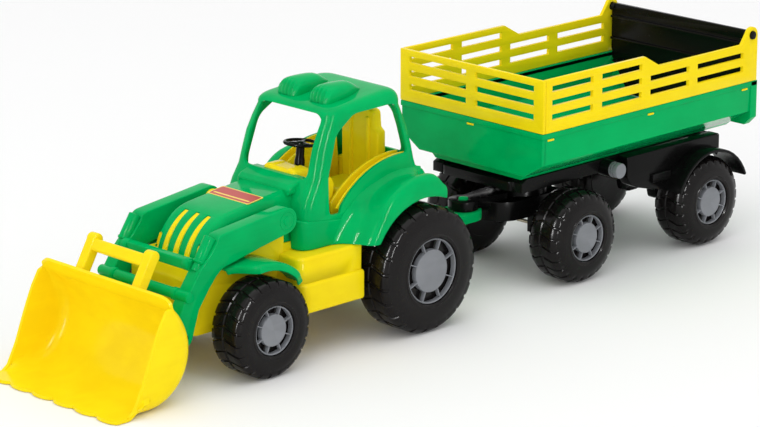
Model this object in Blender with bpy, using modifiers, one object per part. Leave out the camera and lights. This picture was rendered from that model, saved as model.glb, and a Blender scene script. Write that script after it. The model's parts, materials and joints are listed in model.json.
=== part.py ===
"""Toy tractor with a front loader and a two-axle tipping trailer.

Lengths are in metres. +X points to the front of the tractor, +Y to its left and +Z up.
Every shape is drawn with x measured from the tractor's rear axle and z from the ground;
the origin empty then moves the whole train so that it is centred over the world origin.
"""
from math import asin, atan2, cos, degrees, pi, radians, sin, sqrt, tan

import bmesh
import bpy
from mathutils import Matrix, Vector

MM = 0.001

# Fits
SEAT_GAP = 0.3 * MM            # left between parts that rest on or against each other
TURN_GAP = 0.4 * MM            # left round a pin or an axle
SWING_GAP = 3.0 * MM           # left beside parts that swing past each other
WALL = 2.6 * MM                # thickness of the moulded shells

# Wheels: tyre radius, outer face, half width, half width of the tread, radius of the hub cap
AXLE_RADIUS = 1.5 * MM
REAR_WHEEL_RADIUS = 50.0 * MM
REAR_WHEEL_OUTER_Y = 81.5 * MM
REAR_WHEEL_HALF_WIDTH = 20.0 * MM
REAR_TREAD_HALF_WIDTH = 13.5 * MM
REAR_CAP_RADIUS = 26.0 * MM
FRONT_WHEEL_RADIUS = 37.5 * MM
FRONT_WHEEL_OUTER_Y = 77.6 * MM
FRONT_WHEEL_HALF_WIDTH = 17.0 * MM
FRONT_TREAD_HALF_WIDTH = 12.5 * MM
FRONT_CAP_RADIUS = 19.0 * MM
TRAILER_WHEEL_RADIUS = 38.0 * MM
TRAILER_WHEEL_OUTER_Y = 77.0 * MM
TRAILER_WHEEL_HALF_WIDTH = 18.6 * MM
TRAILER_TREAD_HALF_WIDTH = 10.3 * MM
TRAILER_CAP_RADIUS = 19.2 * MM
TREAD_BLOCKS = 14              # blocks round each tyre
TREAD_DEPTH = 1.8 * MM
CAP_THICKNESS = 3.0 * MM
CAP_RECESS = 1.6 * MM          # depth of the cap behind the outer face of the tyre
CAP_SEAT_DEPTH = 7.0 * MM      # depth of the pocket that holds the cap
CAP_WINDOWS = 8

# Tractor layout
WHEELBASE = 160.6 * MM
NOSE_OVERHANG = 44.4 * MM      # front axle to the front of the chassis
CHASSIS_REAR_X = -32.0 * MM
CHASSIS_BOTTOM_Z = 32.5 * MM
CHASSIS_TOP_Z = 86.0 * MM
SPINE_HALF_WIDTH = 35.0 * MM
BELLY_HALF_WIDTH = 60.0 * MM
BELLY_TOP_Z = 80.0 * MM
STEP_HALF_WIDTH = 63.0 * MM
STEP_TOP_Z = 60.0 * MM

# Bonnet
BONNET_TOP_REAR_Z = 124.5 * MM
BONNET_TOP_FRONT_Z = 117.0 * MM
BONNET_HALF_WIDTH = 33.0 * MM
BONNET_SHOULDER_WIDTH = 26.0 * MM
BONNET_NOSE_SETBACK = 11.0 * MM
NOSE_RADIUS = 42.0 * MM
GRILLE_BAR_SPACING = 12.6 * MM
GRILLE_BAR_WIDTH = 5.0 * MM
LAMP_Y = 24.0 * MM
LAMP_WIDTH = 7.0 * MM
LAMP_TOP_Z = 98.0 * MM

# Cab
CAB_WALL = 2.5 * MM
CAB_HALF_WIDTH = 46.5 * MM     # at the waist
CAB_TOP_HALF_WIDTH = 41.0 * MM
CAB_CORNER = 11.0 * MM         # rounding of the pillars and the roof edges
CAB_WAIST_Z = 126.0 * MM
CAB_ROOF_Z = 188.0 * MM
ROOF_FALL = 4.5 * MM            # drop of the roof towards the screen
CAB_BACK_X = -33.0 * MM
SKIRT_HALF_WIDTH = 51.0 * MM
SKIRT_TOP_Z = 104.0 * MM
WELL_GAP = 7.0 * MM            # rear tyre to the wing
WING_DEPTH = 17.0 * MM         # radial depth of the wing's outer face
WING_OUTER_Y = 74.0 * MM
WING_REAR_X = -22.0 * MM
WING_RISE = 9.0 * MM           # extra radius of the wing where it meets the cab
ROOF_LAMP_Y = 17.7 * MM
ROOF_LAMP_SIZE = (21.0 * MM, 10.5 * MM, 12.7 * MM)

# Cab fittings
SEAT_TOP_Z = CAB_ROOF_Z - 22.0 * MM
SEAT_HALF_WIDTH = 18.5 * MM
DASH_TOP_Z = 136.0 * MM
STEERING_RADIUS = 13.0 * MM
STEERING_TUBE = 1.4 * MM
STEERING_TILT = radians(5.0)
COLUMN_RADIUS = 4.2 * MM
STEERING_X = 63.0 * MM
STEERING_Z = 148.5 * MM

# Front mudguards
MUDGUARD_GAP = 7.5 * MM
MUDGUARD_THICKNESS = 5.0 * MM
MUDGUARD_OUTER_Y = 69.0 * MM

# Loader
LOADER_PIVOT_SETBACK = 38.1 * MM   # behind the front axle
LOADER_PIVOT_Z = 108.5 * MM
LOADER_PIN_RADIUS = 4.0 * MM
CHEEK_THICKNESS = 3.2 * MM         # chassis cheeks that carry the loader
ARM_THICKNESS = 12.4 * MM
ARM_EYE_RADIUS = 10.0 * MM
ARM_REACH = 102.5 * MM             # loader pivot to bucket pivot
BUCKET_PIVOT_Z = 40.0 * MM
BUCKET_PIN_RADIUS = 3.0 * MM
ARM_TIP_RADIUS = 8.0 * MM
CROSS_BAR = 8.5 * MM

# Bucket
BUCKET_HALF_WIDTH = 74.0 * MM
BUCKET_RADIUS = 41.0 * MM
BUCKET_OFFSET = 53.0 * MM          # bucket pivot to the centre of the curved back
BUCKET_GROUND = 0.6 * MM
BUCKET_TOP_Z = 84.0 * MM
BUCKET_LIP = 31.0 * MM             # lip in front of that centre
LIP_LOBES = 6
LIP_LOBE_DEPTH = 5.0 * MM
EAR_THICKNESS = 5.0 * MM
HANDLE_HALF_WIDTH = 36.7 * MM
HANDLE_OPENING = 27.5 * MM
HANDLE_HEIGHT = 27.5 * MM          # from the rim of the bucket along the legs
HANDLE_GAP = 15.0 * MM
HANDLE_BAR = 8.5 * MM
HANDLE_THICKNESS = 6.5 * MM
HANDLE_LEAN = radians(30.0)

# Hitch and dolly
HITCH_REACH = 115.0 * MM           # rear axle to the hitch peg
HITCH_TOP_Z = 60.5 * MM
HITCH_THICKNESS = 8.0 * MM
HITCH_HALF_WIDTH = 15.0 * MM
HITCH_PEG_RADIUS = 4.0 * MM
DRAWBAR_LENGTH = 66.5 * MM         # hitch peg to kingpin
DRAWBAR_EYE_RADIUS = 12.5 * MM
DRAWBAR_THICKNESS = 8.0 * MM
DOLLY_HALF_WIDTH = 24.0 * MM
DOLLY_BOTTOM_Z = 48.0 * MM
DOLLY_NOSE = 48.0 * MM             # kingpin to the front of the dolly
DOLLY_TAIL = 26.0 * MM
TURNTABLE_RADIUS = 22.0 * MM
KINGPIN_RADIUS = 5.0 * MM
KINGPIN_HEAD_RADIUS = 8.0 * MM

# Trailer
TRAILER_WHEELBASE = 153.2 * MM
FRAME_HALF_WIDTH = 50.0 * MM
FRAME_RAIL_WIDTH = 11.0 * MM
FRAME_BOTTOM_Z = 80.0 * MM
FRAME_DECK_Z = 87.5 * MM
FRAME_TOP_Z = 90.7 * MM
FRAME_FRONT_OVERHANG = 53.0 * MM   # kingpin to the front of the frame
TIP_PIN_SETBACK = 21.5 * MM        # trailer axle to the tip pin
TIP_PIN_Z = 84.0 * MM
TIP_PIN_RADIUS = 2.0 * MM
BOSS_SETBACK = 46.5 * MM           # kingpin to the side bosses
BOSS_Z = 83.8 * MM
BOSS_RADIUS = 7.0 * MM
BOSS_OUTER_Y = 60.0 * MM
SIDE_CAP_RADIUS = 6.4 * MM
SIDE_CAP_LENGTH = 8.5 * MM
TRAILER_GUARD_GAP = 5.0 * MM
TRAILER_GUARD_THICKNESS = 2.6 * MM
TRAILER_GUARD_OUTER_Y = 78.0 * MM
TRAY_FRONT_OVERHANG = 59.5 * MM    # kingpin to the front of the tray
TRAY_LENGTH = 262.6 * MM
TRAY_HALF_WIDTH = 80.0 * MM
TRAY_RIM_Z = 135.5 * MM
TRAY_RIM_HEIGHT = 4.5 * MM
TRAY_KEEL_HALF_WIDTH = 56.0 * MM
TRAY_FLOOR_Z = 97.0 * MM
TRAY_FRAME_LENGTH = 8.0 * MM       # rear frame round the tailgate
RAIL_THICKNESS = 3.2 * MM
RAIL_TOP_Z = 179.0 * MM
RAIL_LOW_TOP_Z = 168.8 * MM
RAIL_POST = 10.5 * MM
RAIL_REAR_POST = 19.0 * MM
RAIL_DROP_POST = 6.0 * MM
SLOT_HEIGHT = 5.0 * MM
SLOT_PITCH = 11.5 * MM
SLOT_FIRST_Z = 148.0 * MM
TAILGATE_PIN_SETBACK = 8.3 * MM    # rear end of the tray to the tailgate pins
TAILGATE_PIN_Z = 175.2 * MM
TAILGATE_PIN_RADIUS = 3.4 * MM
TAILGATE_THICKNESS = 3.0 * MM
TAILGATE_EAR_RADIUS = 7.0 * MM
TAILGATE_RIB = 4.0 * MM
TAILGATE_CORNER_GAP = 1.0 * MM

# Places that follow from the sizes above
CHEEK_INNER_Y = BONNET_HALF_WIDTH + SEAT_GAP
CHEEK_OUTER_Y = CHEEK_INNER_Y + CHEEK_THICKNESS
ARM_INNER_Y = CHEEK_OUTER_Y + TURN_GAP
ARM_OUTER_Y = ARM_INNER_Y + ARM_THICKNESS
FRONT_AXLE_X = WHEELBASE
NOSE_X = FRONT_AXLE_X + NOSE_OVERHANG
LOADER_PIVOT_X = FRONT_AXLE_X - LOADER_PIVOT_SETBACK
BUCKET_PIVOT_X = LOADER_PIVOT_X + ARM_REACH
SKIRT_FRONT_X = LOADER_PIVOT_X - ARM_EYE_RADIUS - SWING_GAP
CAB_FRONT_X = SKIRT_FRONT_X - 12.0 * MM
BONNET_NOSE_X = NOSE_X - BONNET_NOSE_SETBACK
BONNET_BOTTOM_Z = CHASSIS_TOP_Z + SEAT_GAP
LAMP_REAR_X = BONNET_NOSE_X - 14 * MM
CAB_BOTTOM_Z = BELLY_TOP_Z + SEAT_GAP
WELL_RADIUS = REAR_WHEEL_RADIUS + WELL_GAP
WING_RADIUS = WELL_RADIUS + WING_DEPTH
WELL_INNER_Y = REAR_WHEEL_OUTER_Y - 2 * REAR_WHEEL_HALF_WIDTH - 2.5 * MM
CABIN_HALF_WIDTH = WELL_INNER_Y - CAB_WALL
LEDGE_RADIUS = WING_RADIUS + CAB_WALL    # top of the wing inside the cab
BUCKET_CENTRE_X = BUCKET_PIVOT_X + BUCKET_OFFSET
BUCKET_CENTRE_Z = BUCKET_GROUND + BUCKET_RADIUS
LIP_X = BUCKET_CENTRE_X + BUCKET_LIP
HITCH_X = -HITCH_REACH
KINGPIN_X = HITCH_X - DRAWBAR_LENGTH
DRAWBAR_BOTTOM_Z = HITCH_TOP_Z + SEAT_GAP
DRAWBAR_TOP_Z = DRAWBAR_BOTTOM_Z + DRAWBAR_THICKNESS
TRAILER_AXLE_X = KINGPIN_X - TRAILER_WHEELBASE
TIP_PIN_X = TRAILER_AXLE_X - TIP_PIN_SETBACK
TRAY_FRONT_X = KINGPIN_X + TRAY_FRONT_OVERHANG
TRAY_REAR_X = TRAY_FRONT_X - TRAY_LENGTH
TRAY_BOTTOM_Z = FRAME_TOP_Z + SEAT_GAP
RAIL_BOTTOM_Z = TRAY_RIM_Z + SEAT_GAP
RAIL_INNER_Y = TRAY_HALF_WIDTH - RAIL_THICKNESS
TAILGATE_PIN_X = TRAY_REAR_X + TAILGATE_PIN_SETBACK
BOSS_X = KINGPIN_X - BOSS_SETBACK
TRAIN_FRONT_X = LIP_X + LIP_LOBE_DEPTH
TRAIN_SHIFT = -(TRAIN_FRONT_X + TRAY_REAR_X) / 2

# Colours
GREEN = ("green_plastic", (0.003, 0.44, 0.115), 0.32, 0.0)
YELLOW = ("yellow_plastic", (1.0, 0.70, 0.010), 0.32, 0.0)
BLACK = ("black_plastic", (0.010, 0.010, 0.011), 0.38, 0.0)
TYRE = ("tyre_plastic", (0.014, 0.013, 0.014), 0.60, 0.0)
GREY = ("grey_plastic", (0.27, 0.28, 0.30), 0.35, 0.0)
STEEL = ("steel", (0.55, 0.55, 0.56), 0.30, 1.0)


def clear_scene():
    for item in list(bpy.data.objects):
        bpy.data.objects.remove(item, do_unlink=True)


def material(spec):
    """One shared Principled material for each plastic or metal."""
    name, colour, roughness, metallic = spec
    found = bpy.data.materials.get(name)
    if found:
        return found
    made = bpy.data.materials.new(name)
    made.use_nodes = True
    shader = made.node_tree.nodes["Principled BSDF"]
    shader.inputs["Base Color"].default_value = (*colour, 1.0)
    shader.inputs["Roughness"].default_value = roughness
    shader.inputs["Metallic"].default_value = metallic
    made.diffuse_color = (*colour, 1.0)
    return made


clear_scene()
PARTS = bpy.data.collections.new("toy_tractor")
TOOLS = bpy.data.collections.new("shaping_tools")
for collection in (PARTS, TOOLS):
    bpy.context.scene.collection.children.link(collection)


def empty(name, place, parent=None):
    marker = bpy.data.objects.new(name, None)
    marker.empty_display_size = 0.01
    PARTS.objects.link(marker)
    marker.parent = parent
    marker.location = place
    return marker


ORIGIN = empty("train_origin", (TRAIN_SHIFT, 0, 0))


def pivot(name, x, y, z):
    """Empty on a joint's axis; the parts that move with the joint hang on it."""
    return empty(name, (x, y, z), ORIGIN)


def tidy(mesh, matrix=None):
    """Weld a mesh, move it by a matrix and turn its faces outwards."""
    work = bmesh.new()
    work.from_mesh(mesh)
    bmesh.ops.remove_doubles(work, verts=work.verts, dist=1e-6)
    if matrix:
        work.transform(matrix)
    bmesh.ops.recalc_face_normals(work, faces=work.faces)
    if work.calc_volume(signed=True) < 0:
        bmesh.ops.reverse_faces(work, faces=work.faces)
    work.to_mesh(mesh)
    work.free()
    return mesh


def evaluated(data, modifiers=None):
    """Mesh of a curve, or of a profile after a modifier."""
    holder = bpy.data.objects.new("holder", data)
    TOOLS.objects.link(holder)
    if modifiers:
        modifiers(holder)
    graph = bpy.context.evaluated_depsgraph_get()
    mesh = bpy.data.meshes.new_from_object(holder.evaluated_get(graph))
    bpy.data.objects.remove(holder, do_unlink=True)
    return mesh


# Turn an outline's own axes (across, up, thick) into the train's axes
SIDE_PLANE = Matrix(((1, 0, 0, 0), (0, 0, -1, 0), (0, 1, 0, 0), (0, 0, 0, 1)))
FRONT_PLANE = Matrix(((0, 0, 1, 0), (1, 0, 0, 0), (0, 1, 0, 0), (0, 0, 0, 1)))
PLAN_PLANE = Matrix.Identity(4)


def slab(plane, low, high, *loops):
    """Flat outline filled between two planes; further loops are holes in it."""
    outline = bpy.data.curves.new("outline", "CURVE")
    outline.dimensions = "2D"
    outline.fill_mode = "BOTH"
    outline.extrude = (high - low) / 2
    for loop in loops:
        spline = outline.splines.new("POLY")
        spline.points.add(len(loop) - 1)
        spline.use_cyclic_u = True
        for point, (across, up) in zip(spline.points, loop):
            point.co = (across, up, 0, 1)
    middle = (low + high) / 2
    thick = plane @ Vector((0, 0, 1))
    sign = 1 if sum(thick) > 0 else -1
    return tidy(evaluated(outline), plane @ Matrix.Translation((0, 0, sign * middle)))


def box(low, high):
    work = bmesh.new()
    bmesh.ops.create_cube(work, size=1)
    middle = [(a + b) / 2 for a, b in zip(low, high)]
    size = [b - a for a, b in zip(low, high)]
    work.transform(Matrix.Translation(middle) @ Matrix.Diagonal((*size, 1)))
    mesh = bpy.data.meshes.new("box")
    work.to_mesh(mesh)
    work.free()
    return mesh


def rod(radius, start, end, sides=16):
    """Round bar between two points."""
    line = Vector(end) - Vector(start)
    work = bmesh.new()
    bmesh.ops.create_cone(work, cap_ends=True, segments=sides, radius1=radius, radius2=radius,
                          depth=line.length)
    turn = line.to_track_quat("Z", "Y").to_matrix().to_4x4()
    work.transform(Matrix.Translation((Vector(start) + Vector(end)) / 2) @ turn)
    mesh = bpy.data.meshes.new("rod")
    work.to_mesh(mesh)
    work.free()
    return mesh


def turned(profile, steps, matrix):
    """Closed ring profile of (radius, height) points turned about its axis."""
    count = len(profile)
    data = bpy.data.meshes.new("profile")
    data.from_pydata([(radius, 0, height) for radius, height in profile],
                     [(index, (index + 1) % count) for index in range(count)], [])

    def screw(holder):
        turn = holder.modifiers.new("turn", "SCREW")
        turn.steps = steps
        turn.render_steps = steps
        turn.use_merge_vertices = True
        turn.merge_threshold = 0.00001

    return tidy(evaluated(data, screw), matrix)


def reshaped(mesh, rule):
    """Move every corner of a mesh by a rule."""
    for corner in mesh.vertices:
        corner.co = rule(*corner.co)
    return mesh


def mirrored(mesh):
    """Same shape on the other side of the train."""
    return tidy(mesh, Matrix.Diagonal((1, -1, 1, 1)))


def both_sides(build):
    return build(), mirrored(build())


def part(name, mesh, spec, joint=ORIGIN):
    """Named piece of the toy, drawn in train coordinates and hung on a joint's empty."""
    if joint is not ORIGIN:
        mesh.transform(Matrix.Translation(-joint.location))
    mesh.materials.clear()
    mesh.materials.append(material(spec))
    piece = bpy.data.objects.new(name, mesh)
    PARTS.objects.link(piece)
    piece.parent = joint
    return piece


def smooth(piece, angle=35.0):
    piece.data.shade_smooth()
    piece.data.set_sharp_from_angle(angle=radians(angle))
    return piece


def shape(piece, operation, *meshes):
    """Join, cut or trim a piece with other shapes by exact Booleans."""
    for mesh in meshes:
        tool = bpy.data.objects.new(f"{piece.name}_tool_{len(piece.modifiers)}", mesh)
        TOOLS.objects.link(tool)
        tool.parent = ORIGIN
        tool.hide_render = True
        tool.display_type = "WIRE"
        change = piece.modifiers.new(tool.name, "BOOLEAN")
        change.operation = operation
        change.solver = "EXACT"
        change.object = tool


def join(piece, *meshes):
    shape(piece, "UNION", *meshes)


def cut(piece, *meshes):
    shape(piece, "DIFFERENCE", *meshes)


def trim(piece, *meshes):
    shape(piece, "INTERSECT", *meshes)


def taken(piece):
    """Finished shape of a piece, which is then used up."""
    graph = bpy.context.evaluated_depsgraph_get()
    mesh = bpy.data.meshes.new_from_object(piece.evaluated_get(graph))
    bpy.data.objects.remove(piece, do_unlink=True)
    return mesh


def arc(centre, radius, start, end, steps):
    """Points on an arc from one angle to another, in degrees."""
    turns = [radians(start + (end - start) * step / steps) for step in range(steps + 1)]
    return [(centre[0] + radius * cos(turn), centre[1] + radius * sin(turn)) for turn in turns]


def circle(centre, radius, steps):
    return arc(centre, radius, 0, 360, steps)[:-1]


def rectangle(left, right, bottom, top):
    return [(left, bottom), (right, bottom), (right, top), (left, top)]


def rounded(corners, steps=4):
    """Closed outline through (across, up, radius) corners, each rounded off by an arc."""
    outline = []
    for index, (across, up, radius) in enumerate(corners):
        here = Vector((across, up))
        before = Vector(corners[index - 1][:2]) - here
        after = Vector(corners[(index + 1) % len(corners)][:2]) - here
        if radius <= 0:
            outline.append((across, up))
            continue
        before.normalize()
        after.normalize()
        half = before.angle(after) / 2
        reach = radius / tan(half)
        middle = here + (before + after).normalized() * (radius / sin(half))
        first = here + before * reach - middle
        swing = first.angle_signed(here + after * reach - middle)
        for step in range(steps + 1):
            turn = Matrix.Rotation(-swing * step / steps, 2)
            outline.append(tuple(middle + turn @ first))
    return outline


def across(place):
    """Axis of a turned shape laid along the axle, at a given place."""
    return Matrix.Translation(place) @ Matrix.Rotation(-pi / 2, 4, "X")


def tyre(radius, half_width, tread_half_width, cap_radius):
    """Tyre with a pocket for the hub cap on its outer face and blocks on its shoulders."""
    pocket = cap_radius + SEAT_GAP
    bore = AXLE_RADIUS + SEAT_GAP
    bead = pocket + 2.4 * MM
    shoulder = radius - 3.0 * MM
    profile = [
        (bore, half_width - CAP_SEAT_DEPTH),
        (pocket, half_width - CAP_SEAT_DEPTH),
        (pocket, half_width),
        (bead, half_width),
        (shoulder, (half_width + tread_half_width) / 2),
        (radius, tread_half_width),
        (radius, 0),
        (radius, -tread_half_width),
        (shoulder, -(half_width + tread_half_width) / 2),
        (bead, -half_width),
        (bore, -half_width),
    ]
    steps = 2 * TREAD_BLOCKS
    mesh = turned(profile, steps, Matrix.Identity(4))
    for corner in mesh.vertices:
        reach = Vector((corner.co.x, corner.co.y))
        on_edge = abs(abs(corner.co.z) - tread_half_width) < 1e-6
        if on_edge and reach.length > radius - 1e-6:
            step = round(reach.angle_signed(Vector((1, 0))) / (2 * pi / steps))
            if step % 2:
                reach *= 1 - TREAD_DEPTH / radius
                corner.co.x, corner.co.y = reach
    return mesh


def hub_cap(half_width, cap_radius):
    """Cap with a ring, a middle disc and thin spokes between its windows."""
    ring = cap_radius - 2.0 * MM
    disc = 0.64 * cap_radius
    pitch = 360 / CAP_WINDOWS
    spoke = 0.09 * pitch
    windows = []
    for index in range(CAP_WINDOWS):
        start = index * pitch + spoke
        end = (index + 1) * pitch - spoke
        windows.append(arc((0, 0), ring, start, end, 2) + arc((0, 0), disc, end, start, 2))
    top = half_width - CAP_RECESS
    return slab(PLAN_PLANE, top - CAP_THICKNESS, top, circle((0, 0), cap_radius, 24), *windows)


def wheel_set(label, x, radius, outer_y, half_width, tread_half_width, cap_radius):
    """Axle with a wheel and a hub cap on each end; all of it turns together."""
    spin = pivot(f"{label}_axle_line", x, 0, radius)
    middle = outer_y - half_width
    reach = outer_y - CAP_SEAT_DEPTH + 1.0 * MM
    axle = rod(AXLE_RADIUS, (x, -reach, radius), (x, reach, radius), 12)
    smooth(part(f"{label}_axle", axle, STEEL, spin))
    for side, sign in (("left", 1), ("right", -1)):
        place = across((x, middle, radius))
        rubber = tidy(tyre(radius, half_width, tread_half_width, cap_radius), place)
        cap = tidy(hub_cap(half_width, cap_radius), place)
        if sign < 0:
            rubber = mirrored(rubber)
            cap = mirrored(cap)
        smooth(part(f"{label}_wheel_{side}", rubber, TYRE, spin))
        part(f"{label}_hubcap_{side}", cap, GREY, spin)


def axle_bore(x, z):
    """Bearing hole for an axle."""
    reach = STEP_HALF_WIDTH + 10 * MM
    return rod(AXLE_RADIUS + TURN_GAP, (x, -reach, z), (x, reach, z), 12)


def build_chassis():
    """Yellow lower body: spine between the wheels, wider belly and side steps, hollow below."""
    belly_rear = REAR_WHEEL_RADIUS + 5 * MM
    belly_front = FRONT_AXLE_X - FRONT_WHEEL_RADIUS - SWING_GAP
    spine = slab(SIDE_PLANE, -SPINE_HALF_WIDTH, SPINE_HALF_WIDTH, rounded([
        (CHASSIS_REAR_X, CHASSIS_BOTTOM_Z, 0),
        (NOSE_X, CHASSIS_BOTTOM_Z, 5 * MM),
        (NOSE_X, BELLY_TOP_Z - 6 * MM, 0),
        (BONNET_NOSE_X, CHASSIS_TOP_Z, 0),
        (CHASSIS_REAR_X, CHASSIS_TOP_Z, 0),
    ]))
    chassis = part("tractor_chassis", spine, YELLOW)
    join(chassis,
         box((belly_rear, -BELLY_HALF_WIDTH, CHASSIS_BOTTOM_Z + 4 * MM),
             (belly_front, BELLY_HALF_WIDTH, BELLY_TOP_Z)),
         box((belly_rear, -STEP_HALF_WIDTH, CHASSIS_BOTTOM_Z + 4 * MM),
             (belly_front, STEP_HALF_WIDTH, STEP_TOP_Z)))

    def cheek():
        eye = (LOADER_PIVOT_X, LOADER_PIVOT_Z)
        return slab(SIDE_PLANE, CHEEK_INNER_Y, CHEEK_OUTER_Y, [
            (LOADER_PIVOT_X - 8 * MM, BELLY_TOP_Z - 4 * MM),
            (FRONT_AXLE_X - 6 * MM, BELLY_TOP_Z - 4 * MM),
            (FRONT_AXLE_X - 8 * MM, BELLY_TOP_Z + 8 * MM),
            (LOADER_PIVOT_X + 18 * MM, LOADER_PIVOT_Z - 8 * MM),
        ] + arc(eye, 8 * MM, 30, 180, 8), circle(eye, LOADER_PIN_RADIUS + SEAT_GAP, 12))

    join(chassis, *both_sides(cheek))
    # Cells below, divided by cross ribs that carry the axles
    floor = CHASSIS_BOTTOM_Z - 1 * MM
    roof = CHASSIS_TOP_Z - CAB_WALL
    inner = SPINE_HALF_WIDTH - CAB_WALL
    front_rib = FRONT_AXLE_X
    cells = [
        (CHASSIS_REAR_X + CAB_WALL, -8 * MM),
        (8 * MM, belly_rear),
        (belly_rear + CAB_WALL, belly_front - CAB_WALL),
        (belly_front, front_rib - 7 * MM),
        (front_rib + 7 * MM, NOSE_X - 2 * CAB_WALL),
    ]
    for rear, front in cells:
        top = min(roof, BELLY_TOP_Z - 9 * MM) if front > front_rib else roof
        cut(chassis, box((rear, -inner, floor), (front, inner, top)))
    rear, front = cells[2]
    for sign in (1, -1):
        near = sign * (SPINE_HALF_WIDTH + 1 * MM)
        for far, top in ((BELLY_HALF_WIDTH, BELLY_TOP_Z), (STEP_HALF_WIDTH, STEP_TOP_Z)):
            edges = sorted((near, sign * (far - CAB_WALL)))
            cut(chassis, box((rear, edges[0], floor), (front, edges[1], top - CAB_WALL)))
    cut(chassis, axle_bore(0, REAR_WHEEL_RADIUS), axle_bore(FRONT_AXLE_X, FRONT_WHEEL_RADIUS))
    return chassis


def nose_arc(depth, low, top_angle=84.0, steps=6):
    """Curved front of the bonnet at a depth below its skin, from a height up to the crown."""
    centre = (BONNET_NOSE_X - NOSE_RADIUS, BONNET_TOP_FRONT_Z - NOSE_RADIUS)
    radius = NOSE_RADIUS - depth
    return arc(centre, radius, degrees(asin((low - centre[1]) / radius)), top_angle, steps)


def bonnet_outline(depth=0.0, opening=0.0):
    """Side view of the bonnet, or of the hollow below its skin."""
    rear = CAB_FRONT_X + SEAT_GAP - opening
    low = BONNET_BOTTOM_Z - opening
    return [(rear, low)] + nose_arc(depth, low) + [(rear, BONNET_TOP_REAR_Z - depth)]


def bonnet_taper(x, y, z):
    """The bonnet narrows upwards and towards the nose."""
    climb = (z - BONNET_BOTTOM_Z) / (BONNET_TOP_REAR_Z - BONNET_BOTTOM_Z)
    width = 1 - climb * (1 - BONNET_SHOULDER_WIDTH / BONNET_HALF_WIDTH)
    run = max(0, (x - CAB_FRONT_X) / (BONNET_NOSE_X - CAB_FRONT_X) - 0.4)
    return x, y * width * (1 - 0.16 * run), z


def build_bonnet():
    """Green hood shell, open below and towards the cab."""
    skin = slab(SIDE_PLANE, -BONNET_HALF_WIDTH, BONNET_HALF_WIDTH, bonnet_outline())
    bonnet = part("bonnet", reshaped(skin, bonnet_taper), GREEN)
    inner = BONNET_HALF_WIDTH - WALL
    drop = 10 * MM
    hollow = slab(SIDE_PLANE, -inner, inner, bonnet_outline(WALL, drop))
    cut(bonnet, reshaped(hollow, bonnet_taper))
    for place in (-1, 0, 1):
        middle = place * GRILLE_BAR_SPACING
        half = GRILLE_BAR_WIDTH / 2
        cut(bonnet, box((BONNET_NOSE_X - 26 * MM, middle - half, BONNET_BOTTOM_Z - drop),
                        (NOSE_X, middle + half, BONNET_TOP_FRONT_Z - 2.5 * MM)))
    for sign in (1, -1):
        middle = sign * LAMP_Y
        cut(bonnet, box((LAMP_REAR_X, middle - LAMP_WIDTH / 2, BONNET_BOTTOM_Z - drop),
                        (NOSE_X, middle + LAMP_WIDTH / 2, LAMP_TOP_Z)))
    return bonnet


def build_grille():
    """Yellow insert behind the nose; its bars and lamps stand in the bonnet's openings."""
    foot = CHASSIS_TOP_Z + SEAT_GAP
    back = WALL + SEAT_GAP

    def strip(outer, inner, half, middle, top_angle):
        front = nose_arc(outer, foot, top_angle)
        rear = nose_arc(inner, foot, top_angle)
        return slab(SIDE_PLANE, middle - half, middle + half, front + rear[::-1])

    reach = LAMP_Y + LAMP_WIDTH / 2 - 4 * MM
    grille = part("grille_insert", strip(back, back + WALL, reach, 0, 66), YELLOW)
    slim = GRILLE_BAR_WIDTH / 2 - SEAT_GAP
    for place in (-1, 0, 1):
        join(grille, strip(0.4 * MM, back + 1 * MM, slim, place * GRILLE_BAR_SPACING, 64))
    crown = degrees(asin((LAMP_TOP_Z - BONNET_TOP_FRONT_Z) / NOSE_RADIUS + 1)) - 2
    for sign in (1, -1):
        half = LAMP_WIDTH / 2 - SEAT_GAP
        join(grille, strip(0.5 * MM, back + 1 * MM, half, sign * LAMP_Y, crown))
    return grille


def cab_levels(depth):
    """Height, rear end, front end and half width of the cab, from the sills up to the roof."""
    front = CAB_FRONT_X - depth
    rear = CAB_BACK_X + depth
    half = CAB_HALF_WIDTH - depth
    top_half = CAB_TOP_HALF_WIDTH - depth
    roof = CAB_ROOF_Z - depth
    lower = CAB_WAIST_Z + 4 * MM
    middle = lower + 0.553 * (CAB_ROOF_Z - 13 * MM - lower)
    return [
        (CAB_WAIST_Z - 14 * MM, rear, front, half),
        (CAB_WAIST_Z - 2 * MM, rear + 13 * MM, front - 3 * MM, half),
        (lower, rear + 15 * MM, front - 6.5 * MM, half - 0.2 * MM),
        (middle, rear + 21 * MM, front - 13 * MM, half - 1.5 * MM),
        (roof - 13 * MM, depth - 5 * MM, front - 24 * MM, top_half + 2 * MM),
        (roof - 4 * MM, depth + 1 * MM, front - 30 * MM, top_half - 1.5 * MM),
        (roof, depth + 9 * MM, front - 37 * MM, top_half - 7 * MM),
    ]


def roof_fall(x, z, levels):
    """The roof drops a little towards the screen."""
    foot = levels[-3][0]
    share = max(0, (z - foot) / (levels[-1][0] - foot))
    return share * ROOF_FALL * (x - 9 * MM) / (CAB_FRONT_X - 46 * MM)


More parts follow.
